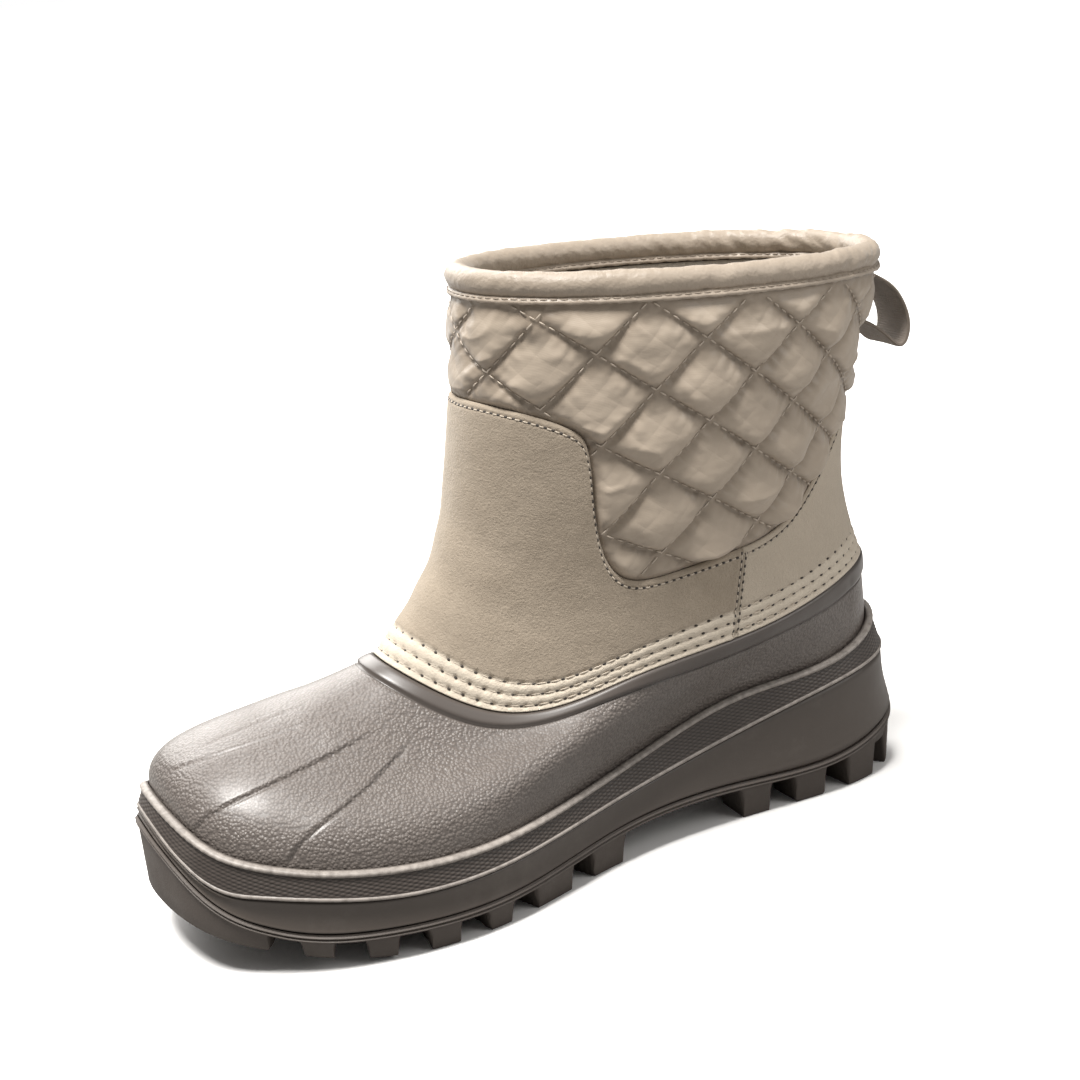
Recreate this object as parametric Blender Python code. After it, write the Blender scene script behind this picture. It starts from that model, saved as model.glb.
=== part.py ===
"""Winter boot for the left foot, built from the pieces that a maker puts together.

Sizes are millimetres and degrees, and MM turns them into metres. The toe points to -Y, +X is the
outer side of the foot and +Z is up. Every piece is read from the same few forms:

    outline(turn, inset)      the sole's outline in plan
    side_line(name, turn)     the height of a line round the side of the sole
    skin(turn, rise, offset)  the upper's surface: rise 0 at the band, 1 at the throat, 2 at the collar

A turn goes once round the boot: 0 at the back of the heel, 90 on the outer side, 180 at the toe.
"""

import bmesh
import bpy
import numpy as np

MM = 0.001
GAP = 0.3  # left between pieces that meet

# The sole in plan: half breadths on the outer and inner side at parts of the length
LENGTH = 280.0
HEEL_CENTRE = -4.0
TOE_CENTRE = -6.0
OUTLINE = (
    # along, outer, inner
    (0.04, 18.5, 25.5),
    (0.14, 28.0, 35.5),
    (0.30, 29.5, 37.5),
    (0.46, 37.0, 38.5),
    (0.63, 54.5, 46.0),
    (0.78, 56.5, 49.0),
    (0.90, 46.0, 43.5),
    (0.975, 26.0, 29.5),
)

# Heights of the lines round the side of the sole
LINE_NAMES = ("tread_top", "band_low", "band_top")
SIDE_LINES = (
    # along, tread_top, band_low, band_top
    (0.00, 23.0, 45.5, 60.5),
    (0.12, 14.5, 42.0, 51.0),
    (0.28, 14.5, 33.0, 46.5),
    (0.42, 14.5, 25.5, 36.5),
    (0.60, 11.0, 21.5, 30.5),
    (0.78, 11.5, 22.0, 32.0),
    (0.92, 18.5, 27.5, 39.0),
    (0.97, 29.0, 33.0, 45.0),
    (1.00, 42.0, 44.5, 52.0),
)
TOE_SPRING = 18.0
SPRING_START = 0.70
HEEL_LEAN = (0.17, 38.0, 26.0)  # slope of the heel's side, the height it leans about, the height it leans from
HEEL_LEAN_REACH = 0.2  # part of the length that leans
TOE_LEAN = (0.12, 40.0, 40.0)
TOE_LEAN_REACH = 0.2

# The tread
PLATE = 2.8  # rubber left above the grooves
LUG_DRAFT = 3.5  # how far the lugs lean in from the widest line
GROOVE_WIDTH = 9.0
GROOVE_REACH = 22.0  # how far in from the edge the grooves run
GROOVES = (12.0, 36.0, 59.5, 144.0, 169.5, 189.5, 211.0, 231.5, 251.0)  # from the back of the heel
ARCH = (77.0, 126.0)
CHANNEL = (19.0, 25.0)  # the channel behind the edge lugs, from the outline
MIDDLE_GROOVES = (46.0, 157.0, 180.0, 203.0, 226.0)
MIDDLE_GROOVE_WIDTH = 6.0
CUT_BELOW = 6.0  # how far the cutters stand out past the tread
TREAD_SIDE = (
    # inset from the widest line, part of the plate's height: a fine double rib
    (1.9, 0.00),
    (1.2, 0.20),
    (1.9, 0.45),
    (1.2, 0.70),
    (1.7, 1.00),
)
MIDSOLE_SIDE = (
    # inset from the widest line, part of the midsole's height
    (2.0, 0.00),
    (2.1, 0.45),
    (1.2, 1.00),
)

# The band and the shell
BAND_THICK = 4.3
BAND_SIDE = (
    # inset from the widest line, part of the band's height, millimetres above that
    (BAND_THICK, 0, 0.0),
    (0.45, 0, 0.0),
    (0.00, 0, 1.2),
    (0.90, 0, 2.6),
    (2.35, 1, -3.0),
    (2.05, 1, -1.6),
    (2.40, 1, -0.2),
    (3.90, 1, 0.0),
    (BAND_THICK, 1, -1.0),
)
SHELL_INSET = BAND_THICK + GAP
SHELL_WALL = 2.8
BEAD = (
    # below the throat, out from the shell: the rounded bead along the shell's top edge
    (5.2, 0.0),
    (4.6, 1.1),
    (2.3, 1.6),
    (0.0, 0.8),
)
SHELL_OUTSIDE = (0.0, 0.1, 0.22, 0.35, 0.5, 0.65, 0.78)  # rises of its loops
SHELL_INSIDE = (0.8, 0.55, 0.3, 0.12)
SHELL_FLOW = (
    # along, lean at the band, lift at the band, slope at the throat, reach at the throat
    (0.00, 0.0, 7.0, 80.0, 7.0),
    (0.30, 16.0, 10.0, 84.0, 8.0),
    (0.60, 6.0, 16.0, 52.0, 15.0),
    (0.80, 2.0, 20.0, 36.0, 24.0),
    (0.93, 0.0, 21.0, 24.0, 36.0),
    (1.00, 0.0, 20.5, 17.0, 44.0),
)

# The leg
THROAT_HEIGHT = (
    # along, height
    (0.00, 83.0),
    (0.30, 72.5),
    (0.60, 66.0),
    (0.85, 63.0),
    (1.00, 80.0),
)
COLLAR_BACK = 186.0
COLLAR_FRONT = 196.0
LEG_CENTRE = -2.0
LEG_FULLNESS = 0.90  # under 1 the loops are fuller than an ellipse
LEG = (
    # part of the way up, back, front, half breadth
    (0.00, 9.5, 194.5, 37.5),
    (0.25, 16.0, 171.5, 39.0),
    (0.50, 15.5, 161.8, 43.5),
    (0.75, 9.5, 156.5, 47.0),
    (1.00, -1.0, 153.5, 49.0),
)
COLLAR_LEVEL = 0.2  # part of the leg over which its edge turns level
LEG_WALL = 4.0
LEG_FOOT = (-10.0, -4.0, 0.0, 1.5)  # heights above the throat of the loops tucked inside the shell
LEG_INSIDE = (2.0, 1.75, 1.5, 1.3, 1.12, 1.0)  # rises of the loops of its inside

# Quilting of the leg
QUILTS_ROUND = 11
QUILT_STEPS = 4  # faces across a diamond
QUILT_ROWS = 18
QUILT_LEAN = 0.34  # keeps the columns of diamonds upright on the sides, in radians over the leg
QUILT_PUFF = 2.6
QUILT_SEAM = 0.8
QUILT_ROUND = 0.6  # under 1 the diamonds are fuller than a sine wave
QUILT_UNDER_LOOP = 1.7  # rise above which the leg lies flat behind the pull loop
QUILT_CLEAR = 9.0  # flat strip kept beside the suede

# The suede
SUEDE = 1.8
SUEDE_CLEAR = 0.7  # between the suede and the leg's faceted wall
SUEDE_SEAM = 76.0
SUEDE_HEM = 0.5  # above the throat
SEAM_GAP = 0.004  # half the gap at the side seam, as a part of the suede's edge
SUEDE_EDGE = (
    # turn at the throat, turn at the upper edge, part of the way up
    (0.0, 0.0, 0.60),
    (22.0, 20.0, 0.575),
    (42.0, 40.0, 0.445),
    (62.0, 60.0, 0.295),
    (80.0, 80.0, 0.258),
    (96.0, 96.0, 0.253),
    (106.0, 107.0, 0.272),
    (114.0, 115.0, 0.335),
    (121.0, 120.0, 0.43),
    (128.0, 123.0, 0.54),
    (135.0, 126.0, 0.645),
    (143.0, 132.0, 0.69),
    (155.0, 148.0, 0.712),
    (180.0, 180.0, 0.708),
)

# The collar and the pull loop
ROLL_RADIUS = 4.1
ROLL_ANGLES = (0, 45, 90, 135, 180, 230)
ROLL_OUT = 0.2
STRIP_DROP = 2.2
STRIP_THICK = 1.4
LOOP_WIDTH = 20.0
LOOP_THICK = 1.6
LOOP_STEPS = 32
LOOP_ROUTE = (
    # out from the back of the collar, up from it: both ends are sewn to the leg's wall
    (-4.0, -4.3),
    (1.5, -7.4),
    (6.9, -11.9),
    (10.8, -19.0),
    (11.7, -26.5),
    (8.6, -31.5),
    (3.0, -27.2),
    (-3.5, -22.2),
    (-9.9, -19.3),
)

# The insole
INSOLE_THICK = 4.5
INSOLE_CLEAR = 0.5
INSOLE_BEVEL = 1.5

AROUND = 72
COLLAR_AROUND = 56
SHARP = 40  # edges that turn by more than this are left sharp
COLOURS = {
    # linear colour, roughness
    "tread_rubber": ((0.085, 0.072, 0.062), 0.62),
    "sole_rubber": ((0.105, 0.090, 0.078), 0.55),
    "band_rubber": ((0.115, 0.098, 0.085), 0.60),
    "shell_rubber": ((0.190, 0.165, 0.148), 0.48),
    "quilted_nylon": ((0.400, 0.335, 0.262), 0.42),
    "suede": ((0.500, 0.440, 0.355), 0.92),
    "binding_nylon": ((0.360, 0.295, 0.225), 0.45),
    "webbing": ((0.200, 0.160, 0.125), 0.80),
    "felt": ((0.380, 0.340, 0.290), 0.95),
}


def spline(at, knots, values):
    """Natural cubic spline through the knots, read at the given places."""
    knots, values = np.asarray(knots, float), np.asarray(values, float)
    step = np.diff(knots)
    grade = np.diff(values) / step
    count = len(knots)
    system, right = np.eye(count), np.zeros(count)
    for i in range(1, count - 1):
        system[i, i - 1 : i + 2] = step[i - 1], 2 * (step[i - 1] + step[i]), step[i]
        right[i] = 6 * (grade[i] - grade[i - 1])
    bend = np.linalg.solve(system, right)
    at = np.asarray(at, float)
    i = np.clip(np.searchsorted(knots, at) - 1, 0, count - 2)
    before, after, h = at - knots[i], knots[i + 1] - at, step[i]
    cubic = (bend[i] * after**3 + bend[i + 1] * before**3) / (6 * h)
    low = (values[i] / h - bend[i] * h / 6) * after
    high = (values[i + 1] / h - bend[i + 1] * h / 6) * before
    return cubic + low + high


def column(table, number):
    return [row[number] for row in table]


def along(turn):
    """Part of the length that a turn reaches: 0 at the heel, 1 at the toe."""
    return (1 - np.cos(turn)) / 2


def turn_at(part):
    return np.arccos(1 - 2 * np.asarray(part))


def outline(turn, inset=0.0):
    """Plan of the sole as (across, from the heel), moved in from the widest line by an inset."""
    outer = turn_at(column(OUTLINE, 0))
    knots = np.concatenate([[0], outer, [np.pi], 2 * np.pi - outer[::-1]])
    inner = [-row[2] for row in OUTLINE[::-1]]
    across = np.concatenate([[HEEL_CENTRE], column(OUTLINE, 1), [TOE_CENTRE], inner])
    rounds = np.concatenate([knots - 2 * np.pi, knots, knots + 2 * np.pi])
    across = np.tile(across, 3)

    def plan(angle):
        return np.stack([spline(np.mod(angle, 2 * np.pi), rounds, across), LENGTH * along(angle)], -1)

    small = 1e-3
    way = plan(turn + small) - plan(turn - small)
    out = np.stack([way[..., 1], -way[..., 0]], -1)
    out /= np.linalg.norm(out, axis=-1, keepdims=True)
    return plan(turn) - np.asarray(inset)[..., None] * out


def side_line(name, turn):
    return spline(along(turn), column(SIDE_LINES, 0), column(SIDE_LINES, 1 + LINE_NAMES.index(name)))


def ground(turn):
    """Height of the lugs' undersides: flat, then the toe spring."""
    lift = np.clip((along(turn) - SPRING_START) / (1 - SPRING_START), 0, 1)
    return TOE_SPRING * lift**2


def placed(plan, height):
    """Points (x, y, z) from plan points and heights."""
    height = np.broadcast_to(height, plan.shape[:-1])
    return np.stack([plan[..., 0], LENGTH / 2 - plan[..., 1], height], -1)


def side_ring(turn, inset, height):
    """A ring round the sole at a height, inset from the widest line, which leans in at the heel and the toe."""
    heel = np.clip(1 - along(turn) / HEEL_LEAN_REACH, 0, 1) ** 2
    toe = np.clip(1 - (1 - along(turn)) / TOE_LEAN_REACH, 0, 1) ** 2
    for part, (slope, about, lowest) in ((heel, HEEL_LEAN), (toe, TOE_LEAN)):
        inset = inset + part * slope * (np.maximum(height, lowest) - about)
    return placed(outline(turn, inset), height)


def leg_loop(turn, part):
    """The leg's surface: loops between the throat and the collar, each between its back and front."""
    back, front, half = (spline(part, column(LEG, 0), column(LEG, i)) for i in (1, 2, 3))
    reach = along(turn)
    side = np.sign(np.sin(turn)) * np.abs(np.sin(turn)) ** LEG_FULLNESS
    plan = np.stack([LEG_CENTRE + half * side, back + (front - back) * reach], -1)
    throat = spline(reach, column(THROAT_HEIGHT, 0), column(THROAT_HEIGHT, 1))
    collar = COLLAR_BACK + (COLLAR_FRONT - COLLAR_BACK) * reach
    return placed(plan, throat + (collar - throat) * part)


def shell_curve(turn, part):
    """The foot's surface: for each turn a cubic curve from the top of the band to the throat."""
    places = column(SHELL_FLOW, 0)
    lean, lift, slope, reach = (spline(along(turn), places, column(SHELL_FLOW, i)) for i in range(1, 5))
    start = side_ring(turn, SHELL_INSET, side_line("band_top", turn))
    end = leg_loop(turn, np.zeros_like(turn))
    wide = side_ring(turn, SHELL_INSET - 1, side_line("band_top", turn))
    lean, slope = np.radians(lean)[..., None], np.radians(slope)[..., None]
    up = np.array([0.0, 0.0, 1.0])
    inward = (end - start) * (1, 1, 0)
    inward /= np.linalg.norm(inward, axis=-1, keepdims=True)
    first = start + lift[..., None] * (np.cos(lean) * up + np.sin(lean) * (wide - start))
    last = end - reach[..., None] * (np.cos(slope) * inward + np.sin(slope) * up)
    p = np.asarray(part)[..., None]
    return (1 - p) ** 3 * start + 3 * p * (1 - p) ** 2 * first + 3 * p**2 * (1 - p) * last + p**3 * end


def skin(turn, rise, offset=0.0):
    """The upper's surface, moved out by an offset along its normal, which levels out at the collar."""
    turn, rise = np.broadcast_arrays(np.asarray(turn, float), np.asarray(rise, float))

    def surface(angle, level):
        foot = shell_curve(angle, np.clip(level, 0, 1))
        leg = leg_loop(angle, np.clip(level - 1, 0, 1))
        return np.where((level <= 1)[..., None], foot, leg)

    turn_step, rise_step = 0.02, 0.05
    round_way = surface(turn + turn_step, rise) - surface(turn - turn_step, rise)
    up_way = surface(turn, np.minimum(rise + rise_step, 2)) - surface(turn, np.maximum(rise - rise_step, 0))
    out = np.cross(up_way, round_way)
    out[..., 2] *= np.clip((2 - rise) / COLLAR_LEVEL, 0, 1)
    out /= np.linalg.norm(out, axis=-1, keepdims=True)
    return surface(turn, rise) + np.asarray(offset)[..., None] * out


def from_throat(turn, distance):
    """Rise that lies a distance above the throat, or below it where negative."""
    step = 0.05 if distance >= 0 else -0.05
    length = np.linalg.norm(skin(turn, 1 + step) - skin(turn, np.ones_like(turn)), axis=-1)
    return 1 + step * abs(distance) / length


def suede_edge(part):
    """Turn at the throat, turn and rise at the upper edge, along the suede from the back to the toe."""
    places = np.linspace(0, 1, len(SUEDE_EDGE))
    foot, turn, up = (spline(part, places, column(SUEDE_EDGE, i)) for i in range(3))
    return np.radians(foot), np.radians(turn), 1 + up


def quilt_turns(rise):
    """Turns of the quilt's columns at a rise: even steps round the collar, upright on the sides below it."""
    fine = np.linspace(0, 2 * np.pi, 721)
    steps = np.linalg.norm(np.diff(leg_loop(fine, np.ones_like(fine)), axis=0), axis=-1)
    length = np.concatenate([[0], np.cumsum(steps)])
    count = QUILTS_ROUND * QUILT_STEPS
    even = np.interp(np.arange(count) * length[-1] / count, length, fine)
    return even + QUILT_LEAN * (rise - 2) * np.sin(even)


def quilt_offset(turn, rise, i, j):
    """Offset of the leg's outside at quilt step i round and j up: puffed between the diamonds' seams."""
    half = np.pi / QUILT_STEPS
    puff = np.abs(np.sin(half * (i + j)) * np.sin(half * (i - j))) ** QUILT_ROUND
    _, edge_turn, edge_rise = suede_edge(np.linspace(0, 1, 200))
    folded = np.minimum(turn, 2 * np.pi - turn)
    margin_turn = QUILT_CLEAR / LEG[2][3]
    margin_rise = QUILT_CLEAR / (COLLAR_BACK - THROAT_HEIGHT[1][1])
    near = np.abs(folded[..., None] - edge_turn) < margin_turn
    edge = np.where(near, edge_rise, 1).max(-1)
    open_quilt = (rise > edge + margin_rise) & (rise < 2)
    under_loop = (folded < LOOP_WIDTH / LEG[4][3]) & (rise > QUILT_UNDER_LOOP)
    return np.where(open_quilt & ~under_loop, QUILT_SEAM + QUILT_PUFF * puff, 0.0) - SUEDE - SUEDE_CLEAR


def mesh_object(name, points, faces, material, collection):
    """A closed piece from points in millimetres and faces, its faces turned outwards."""
    mesh = bpy.data.meshes.new(name)
    mesh.from_pydata((np.asarray(points) * MM).tolist(), [], faces)
    body = bmesh.new()
    body.from_mesh(mesh)
    bmesh.ops.remove_doubles(body, verts=body.verts, dist=1e-6)
    bmesh.ops.recalc_face_normals(body, faces=body.faces)
    if body.calc_volume(signed=True) < 0:
        bmesh.ops.reverse_faces(body, faces=body.faces)
    body.to_mesh(mesh)
    body.free()
    mesh.shade_smooth()
    mesh.set_sharp_from_angle(angle=np.radians(SHARP))
    piece = bpy.data.objects.new(name, mesh)
    collection.objects.link(piece)
    if material:
        mesh.materials.append(material)
    return piece


def side_faces(count, rings, closed):
    """Quads between neighbouring rings of equal count, the last ring joined to the first where closed."""
    pairs = [(k, (k + 1) % rings) for k in range(rings if closed else rings - 1)]
    return [
        (a * count + i, a * count + (i + 1) % count, b * count + (i + 1) % count, b * count + i)
        for a, b in pairs
        for i in range(count)
    ]


def cap_faces(count, first):
    """Strips across a ring, from each point to the one opposite it at the same length."""
    half = count // 2
    last = first + count
    strips = [(first + i, first + i + 1, last - i - 1, last - i) for i in range(1, half - 1)]
    heel = (first, first + 1, last - 1)
    toe = (first + half - 1, first + half, first + half + 1)
    return [heel, *strips, toe]


def slab(name, rings, material, collection):
    """A solid piece through rings from its underside to its top."""
    count = len(rings[0])
    faces = side_faces(count, len(rings), False)
    faces += cap_faces(count, 0) + cap_faces(count, count * (len(rings) - 1))
    return mesh_object(name, np.concatenate(rings), faces, material, collection)


def hoop(name, rings, material, collection):
    """A wall round the boot, through the rings of its outside and back down its inside."""
    faces = side_faces(len(rings[0]), len(rings), True)
    return mesh_object(name, np.concatenate(rings), faces, material, collection)


def panel(name, outside, inside, material, collection):
    """A sheet between two grids of points of the same size."""
    rows, count = outside.shape[:2]
    grid = np.arange(rows * count).reshape(rows, count)
    back = grid + rows * count
    quads = [
        (g[r, c], g[r, c + 1], g[r + 1, c + 1], g[r + 1, c])
        for g in (grid, back)
        for r in range(rows - 1)
        for c in range(count - 1)
    ]
    rim = np.concatenate([grid[0], grid[1:, -1], grid[-1, -2::-1], grid[-2:0:-1, 0]])
    quads += [(a, b, b + rows * count, a + rows * count) for a, b in zip(rim, np.roll(rim, -1))]
    points = np.concatenate([outside.reshape(-1, 3), inside.reshape(-1, 3)])
    return mesh_object(name, points, [tuple(map(int, quad)) for quad in quads], material, collection)


def material_named(name):
    colour, roughness = COLOURS[name]
    material = bpy.data.materials.new(name)
    material.use_nodes = True
    shader = material.node_tree.nodes["Principled BSDF"]
    shader.inputs["Base Color"].default_value = (*colour, 1.0)
    shader.inputs["Roughness"].default_value = roughness
    shader.inputs["Metallic"].default_value = 0.0
    material.diffuse_color = (*colour, 1.0)
    return material


def turns(count=AROUND):
    return np.arange(count) * (2 * np.pi / count)


def sole_ring(inset, height):
    return side_ring(turns(), inset, height)


def tread_roof(from_heel):
    """Height of the roof of the grooves at a distance from the back of the heel."""
    turn = turn_at(np.clip(from_heel / LENGTH, 0, 1))
    return side_line("tread_top", turn) - PLATE


def cutter_box(size, centre, heading):
    """Corners and faces of a box in plan, its roof at the tread's roof and its floor under the boot."""
    body = bmesh.new()
    bmesh.ops.create_cube(body, size=1.0)
    corners = np.array([vert.co[:] for vert in body.verts])
    faces = [[vert.index for vert in face.verts] for face in body.faces]
    body.free()
    aside = np.array([-heading[1], heading[0]])
    plan = centre + corners[:, :1] * size[0] * heading + corners[:, 1:2] * size[1] * aside
    return placed(plan, np.where(corners[:, 2] > 0, tread_roof(plan[:, 1]), -CUT_BELOW)), faces


def joined_cutter(name, boxes, collection):
    points, faces, first = [], [], 0
    for corners, box_faces in boxes:
        points.append(corners)
        faces += [[first + i for i in face] for face in box_faces]
        first += len(corners)
    return hidden(mesh_object(name, np.concatenate(points), faces, None, collection))


def hidden(cutter):
    cutter.hide_render = True
    cutter.display_type = "WIRE"
    return cutter


def cut(piece, cutter):
    tool = piece.modifiers.new(cutter.name, "BOOLEAN")
    tool.operation = "DIFFERENCE"
    tool.solver = "EXACT"
    tool.use_self = True  # boxes of one cutter cross each other
    tool.object = cutter


def groove_boxes():
    """Boxes for the grooves between the edge lugs, square to the outline on both sides."""
    boxes = []
    for from_heel in GROOVES:
        for turn in (turn_at(from_heel / LENGTH), 2 * np.pi - turn_at(from_heel / LENGTH)):
            edge = outline(turn)
            inward = outline(turn, 1.0) - edge
            centre = edge + inward * (GROOVE_REACH - CUT_BELOW) / 2
            boxes.append(cutter_box((GROOVE_REACH + CUT_BELOW, GROOVE_WIDTH), centre, inward))
    return boxes


def middle_boxes():
    """Boxes right across the arch, and across the middle of the tread between the channel's sides."""
    across = np.array([1.0, 0.0])
    boxes = [cutter_box((LENGTH / 2, ARCH[1] - ARCH[0]), np.array([0.0, sum(ARCH) / 2]), across)]
    for from_heel in MIDDLE_GROOVES:
        turn = turn_at(from_heel / LENGTH)
        ends = outline(np.array([turn, 2 * np.pi - turn]))
        width = ends[0, 0] - ends[1, 0] - sum(CHANNEL)
        boxes.append(cutter_box((width, MIDDLE_GROOVE_WIDTH), ends.mean(0), across))
    return boxes


def make_outsole(parts, cutters):
    roof = side_line("tread_top", turns()) - PLATE
    rings = [sole_ring(LUG_DRAFT, ground(turns()))]
    rings += [sole_ring(inset, roof + part * PLATE) for inset, part in TREAD_SIDE]
    outsole = slab("outsole", rings, material_named("tread_rubber"), parts)
    cut(outsole, joined_cutter("edge_grooves", groove_boxes(), cutters))
    cut(outsole, joined_cutter("arch_and_middle_grooves", middle_boxes(), cutters))
    sides = [outline(turns(), inset) for inset in CHANNEL]
    channel = [placed(side, -CUT_BELOW) for side in sides]
    channel += [placed(side, tread_roof(side[:, 1])) for side in sides[::-1]]
    cut(outsole, hidden(hoop("channel", channel, None, cutters)))


def make_midsole(parts):
    low = side_line("tread_top", turns()) + GAP
    top = side_line("band_low", turns())
    rings = [sole_ring(inset, low + part * (top - low)) for inset, part in MIDSOLE_SIDE]
    slab("midsole", rings, material_named("sole_rubber"), parts)


def make_band(parts):
    low = side_line("band_low", turns()) + GAP
    top = side_line("band_top", turns())
    rings = [sole_ring(inset, low + part * (top - low) + above) for inset, part, above in BAND_SIDE]
    hoop("foxing_band", rings, material_named("band_rubber"), parts)


def make_shell(parts):
    turn = turns()
    low = side_line("band_low", turn) + GAP
    rings = [side_ring(turn, SHELL_INSET, low)]
    rings += [skin(turn, rise) for rise in SHELL_OUTSIDE]
    rings += [skin(turn, from_throat(turn, -below), out) for below, out in BEAD]
    rings += [skin(turn, rise, -SHELL_WALL) for rise in (1.0, *SHELL_INSIDE)]
    rings += [side_ring(turn, SHELL_INSET + SHELL_WALL, side_line("band_top", turn))]
    rings += [side_ring(turn, SHELL_INSET + SHELL_WALL, low)]
    hoop("rubber_shell", rings, material_named("shell_rubber"), parts)


def make_leg(parts):
    count = QUILTS_ROUND * QUILT_STEPS
    tucked = -SHELL_WALL - 2 * GAP
    inner = -SUEDE - SUEDE_CLEAR - LEG_WALL
    low = quilt_turns(1)
    rings = [skin(low, from_throat(low, height), tucked) for height in LEG_FOOT]
    first = len(rings)
    for j in range(1, QUILT_ROWS + 1):
        rise = np.full(count, 1 + j / QUILT_ROWS)
        turn = quilt_turns(rise[0])
        rings.append(skin(turn, rise, quilt_offset(turn, rise, np.arange(count), j)))
    last = len(rings) - 1
    rings += [skin(quilt_turns(rise), rise, inner) for rise in LEG_INSIDE]
    rings += [skin(low, from_throat(low, LEG_FOOT[0]), inner)]
    faces = []
    for k, (a, b, c, d) in enumerate(side_faces(count, len(rings), True)):
        row, i = divmod(k, count)
        if first <= row < last and (i - (row - first + 1)) % 2:
            faces += [(a, b, d), (b, c, d)]
        elif first <= row < last:
            faces += [(a, b, c), (a, c, d)]
        else:
            faces.append((a, b, c, d))
    mesh_object("quilted_shaft", np.concatenate(rings), faces, material_named("quilted_nylon"), parts)


def suede_panel(name, first, last, count, rows, material, parts):
    """A suede sheet between two places along its edge: under 0 and over 1 is the inner side."""
    part = np.linspace(first, last, count)
    foot, turn, edge = suede_edge(1 - np.abs(1 - np.abs(part)))
    side = np.where((part < 0) | (part > 1), -1, 1)
    whole = np.where(part > 1, 2 * np.pi, 0)
    foot, turn = foot * side + whole, turn * side + whole
    up = np.linspace(0, 1, rows)[:, None]
    low = from_throat(foot, SUEDE_HEM)
    angle = foot + (turn - foot) * up
    rise = low + (edge - low) * up
    panel(name, skin(angle, rise), skin(angle, rise, -SUEDE), material, parts)


def make_suede(parts):
    suede = material_named("suede")
    places = np.linspace(0, 1, 400)
    seam = float(np.interp(np.radians(SUEDE_SEAM), suede_edge(places)[0], places))
    suede_panel("suede_front", seam + SEAM_GAP, 2 - seam - SEAM_GAP, 45, 7, suede, parts)
    suede_panel("suede_counter", SEAM_GAP - seam, seam - SEAM_GAP, 25, 5, suede, parts)


def make_collar(parts):
    turn = turns(COLLAR_AROUND)
    base = skin(turn, 2)
    out = skin(turn, 2, 1.0) - base

    def ring(offset, up):
        return base + offset * out + np.array([0.0, 0.0, up])

    middle, height = ROLL_OUT - ROLL_RADIUS, GAP + ROLL_RADIUS
    rings = [
        ring(middle + ROLL_RADIUS * np.cos(angle), height + ROLL_RADIUS * np.sin(angle))
        for angle in np.radians(ROLL_ANGLES)
    ]
    strip_in, strip_out = ROLL_OUT - STRIP_THICK, ROLL_OUT - GAP
    rings += [ring(strip_in, GAP), ring(strip_in, -STRIP_DROP)]
    rings += [ring(strip_out, -STRIP_DROP), ring(strip_out, 2 * GAP)]
    hoop("collar_binding", rings, material_named("binding_nylon"), parts)


def make_loop(parts):
    places = np.linspace(0, 1, len(LOOP_ROUTE))
    fine = np.linspace(0, 1, LOOP_STEPS + 1)
    route = np.stack([spline(fine, places, column(LOOP_ROUTE, i)) for i in (0, 1)], -1)
    way = np.gradient(route, axis=0)
    way /= np.linalg.norm(way, axis=-1, keepdims=True)
    aside = np.stack([-way[:, 1], way[:, 0]], -1) * LOOP_THICK / 2
    back = skin(np.zeros(1), np.full(1, 2.0))[0]

    def edge(across, sides):
        out, up = (route + sides * aside).T
        return np.stack([np.full_like(out, LEG_CENTRE + across), back[1] + out, back[2] + up], -1)

    half = LOOP_WIDTH / 2
    outside = np.stack([edge(-half, 1), edge(half, 1)])
    inside = np.stack([edge(-half, -1), edge(half, -1)])
    panel("pull_loop", outside, inside, material_named("webbing"), parts)


def make_insole(parts):
    low = side_line("band_low", turns()) + GAP
    edge = SHELL_INSET + SHELL_WALL + INSOLE_CLEAR
    rings = [sole_ring(edge, low), sole_ring(edge, low + INSOLE_THICK - INSOLE_BEVEL)]
    rings += [sole_ring(edge + INSOLE_BEVEL, low + INSOLE_THICK)]
    slab("insole", rings, material_named("felt"), parts)


def settle(parts):
    """Moves the whole boot so that its box stands centred on the origin."""
    bpy.context.view_layer.update()
    graph = bpy.context.evaluated_depsgraph_get()
    corners = np.concatenate([np.array(piece.evaluated_get(graph).bound_box) for piece in parts.objects])
    low, high = corners.min(0), corners.max(0)
    centre = np.array([(low[0] + high[0]) / 2, (low[1] + high[1]) / 2, low[2]])
    holder = bpy.data.objects.new("winter_boot_base", None)
    parts.objects.link(holder)
    holder.location = -centre
    for piece in bpy.data.objects:
        if piece is not holder:
            piece.parent = holder


def main():
    for old in list(bpy.data.objects):
        bpy.data.objects.remove(old)
    parts = bpy.data.collections.new("winter_boot")
    cutters = bpy.data.collections.new("cutters")
    for collection in (parts, cutters):
        bpy.context.scene.collection.children.link(collection)
    make_outsole(parts, cutters)
    make_midsole(parts)
    make_band(parts)
    make_shell(parts)
    make_leg(parts)
    make_suede(parts)
    make_collar(parts)
    make_loop(parts)
    make_insole(parts)
    settle(parts)


main()
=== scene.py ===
"""Looks of the winter boot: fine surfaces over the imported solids, finishes, a floor, light and a camera.

Shapes are worked out in millimetres in the frame that the boot is drawn in, toe to -Y and outer side to +X,
and placed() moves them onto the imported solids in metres. Two coordinates run over the whole boot: turn goes
round it (0 at the heel, 90 on the outer side, 180 at the toe) and rise goes up the upper (0 at the band, 1 at
the throat, 2 at the collar).
"""

import bmesh
import bpy
import numpy as np
from mathutils import Matrix, Vector


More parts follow.
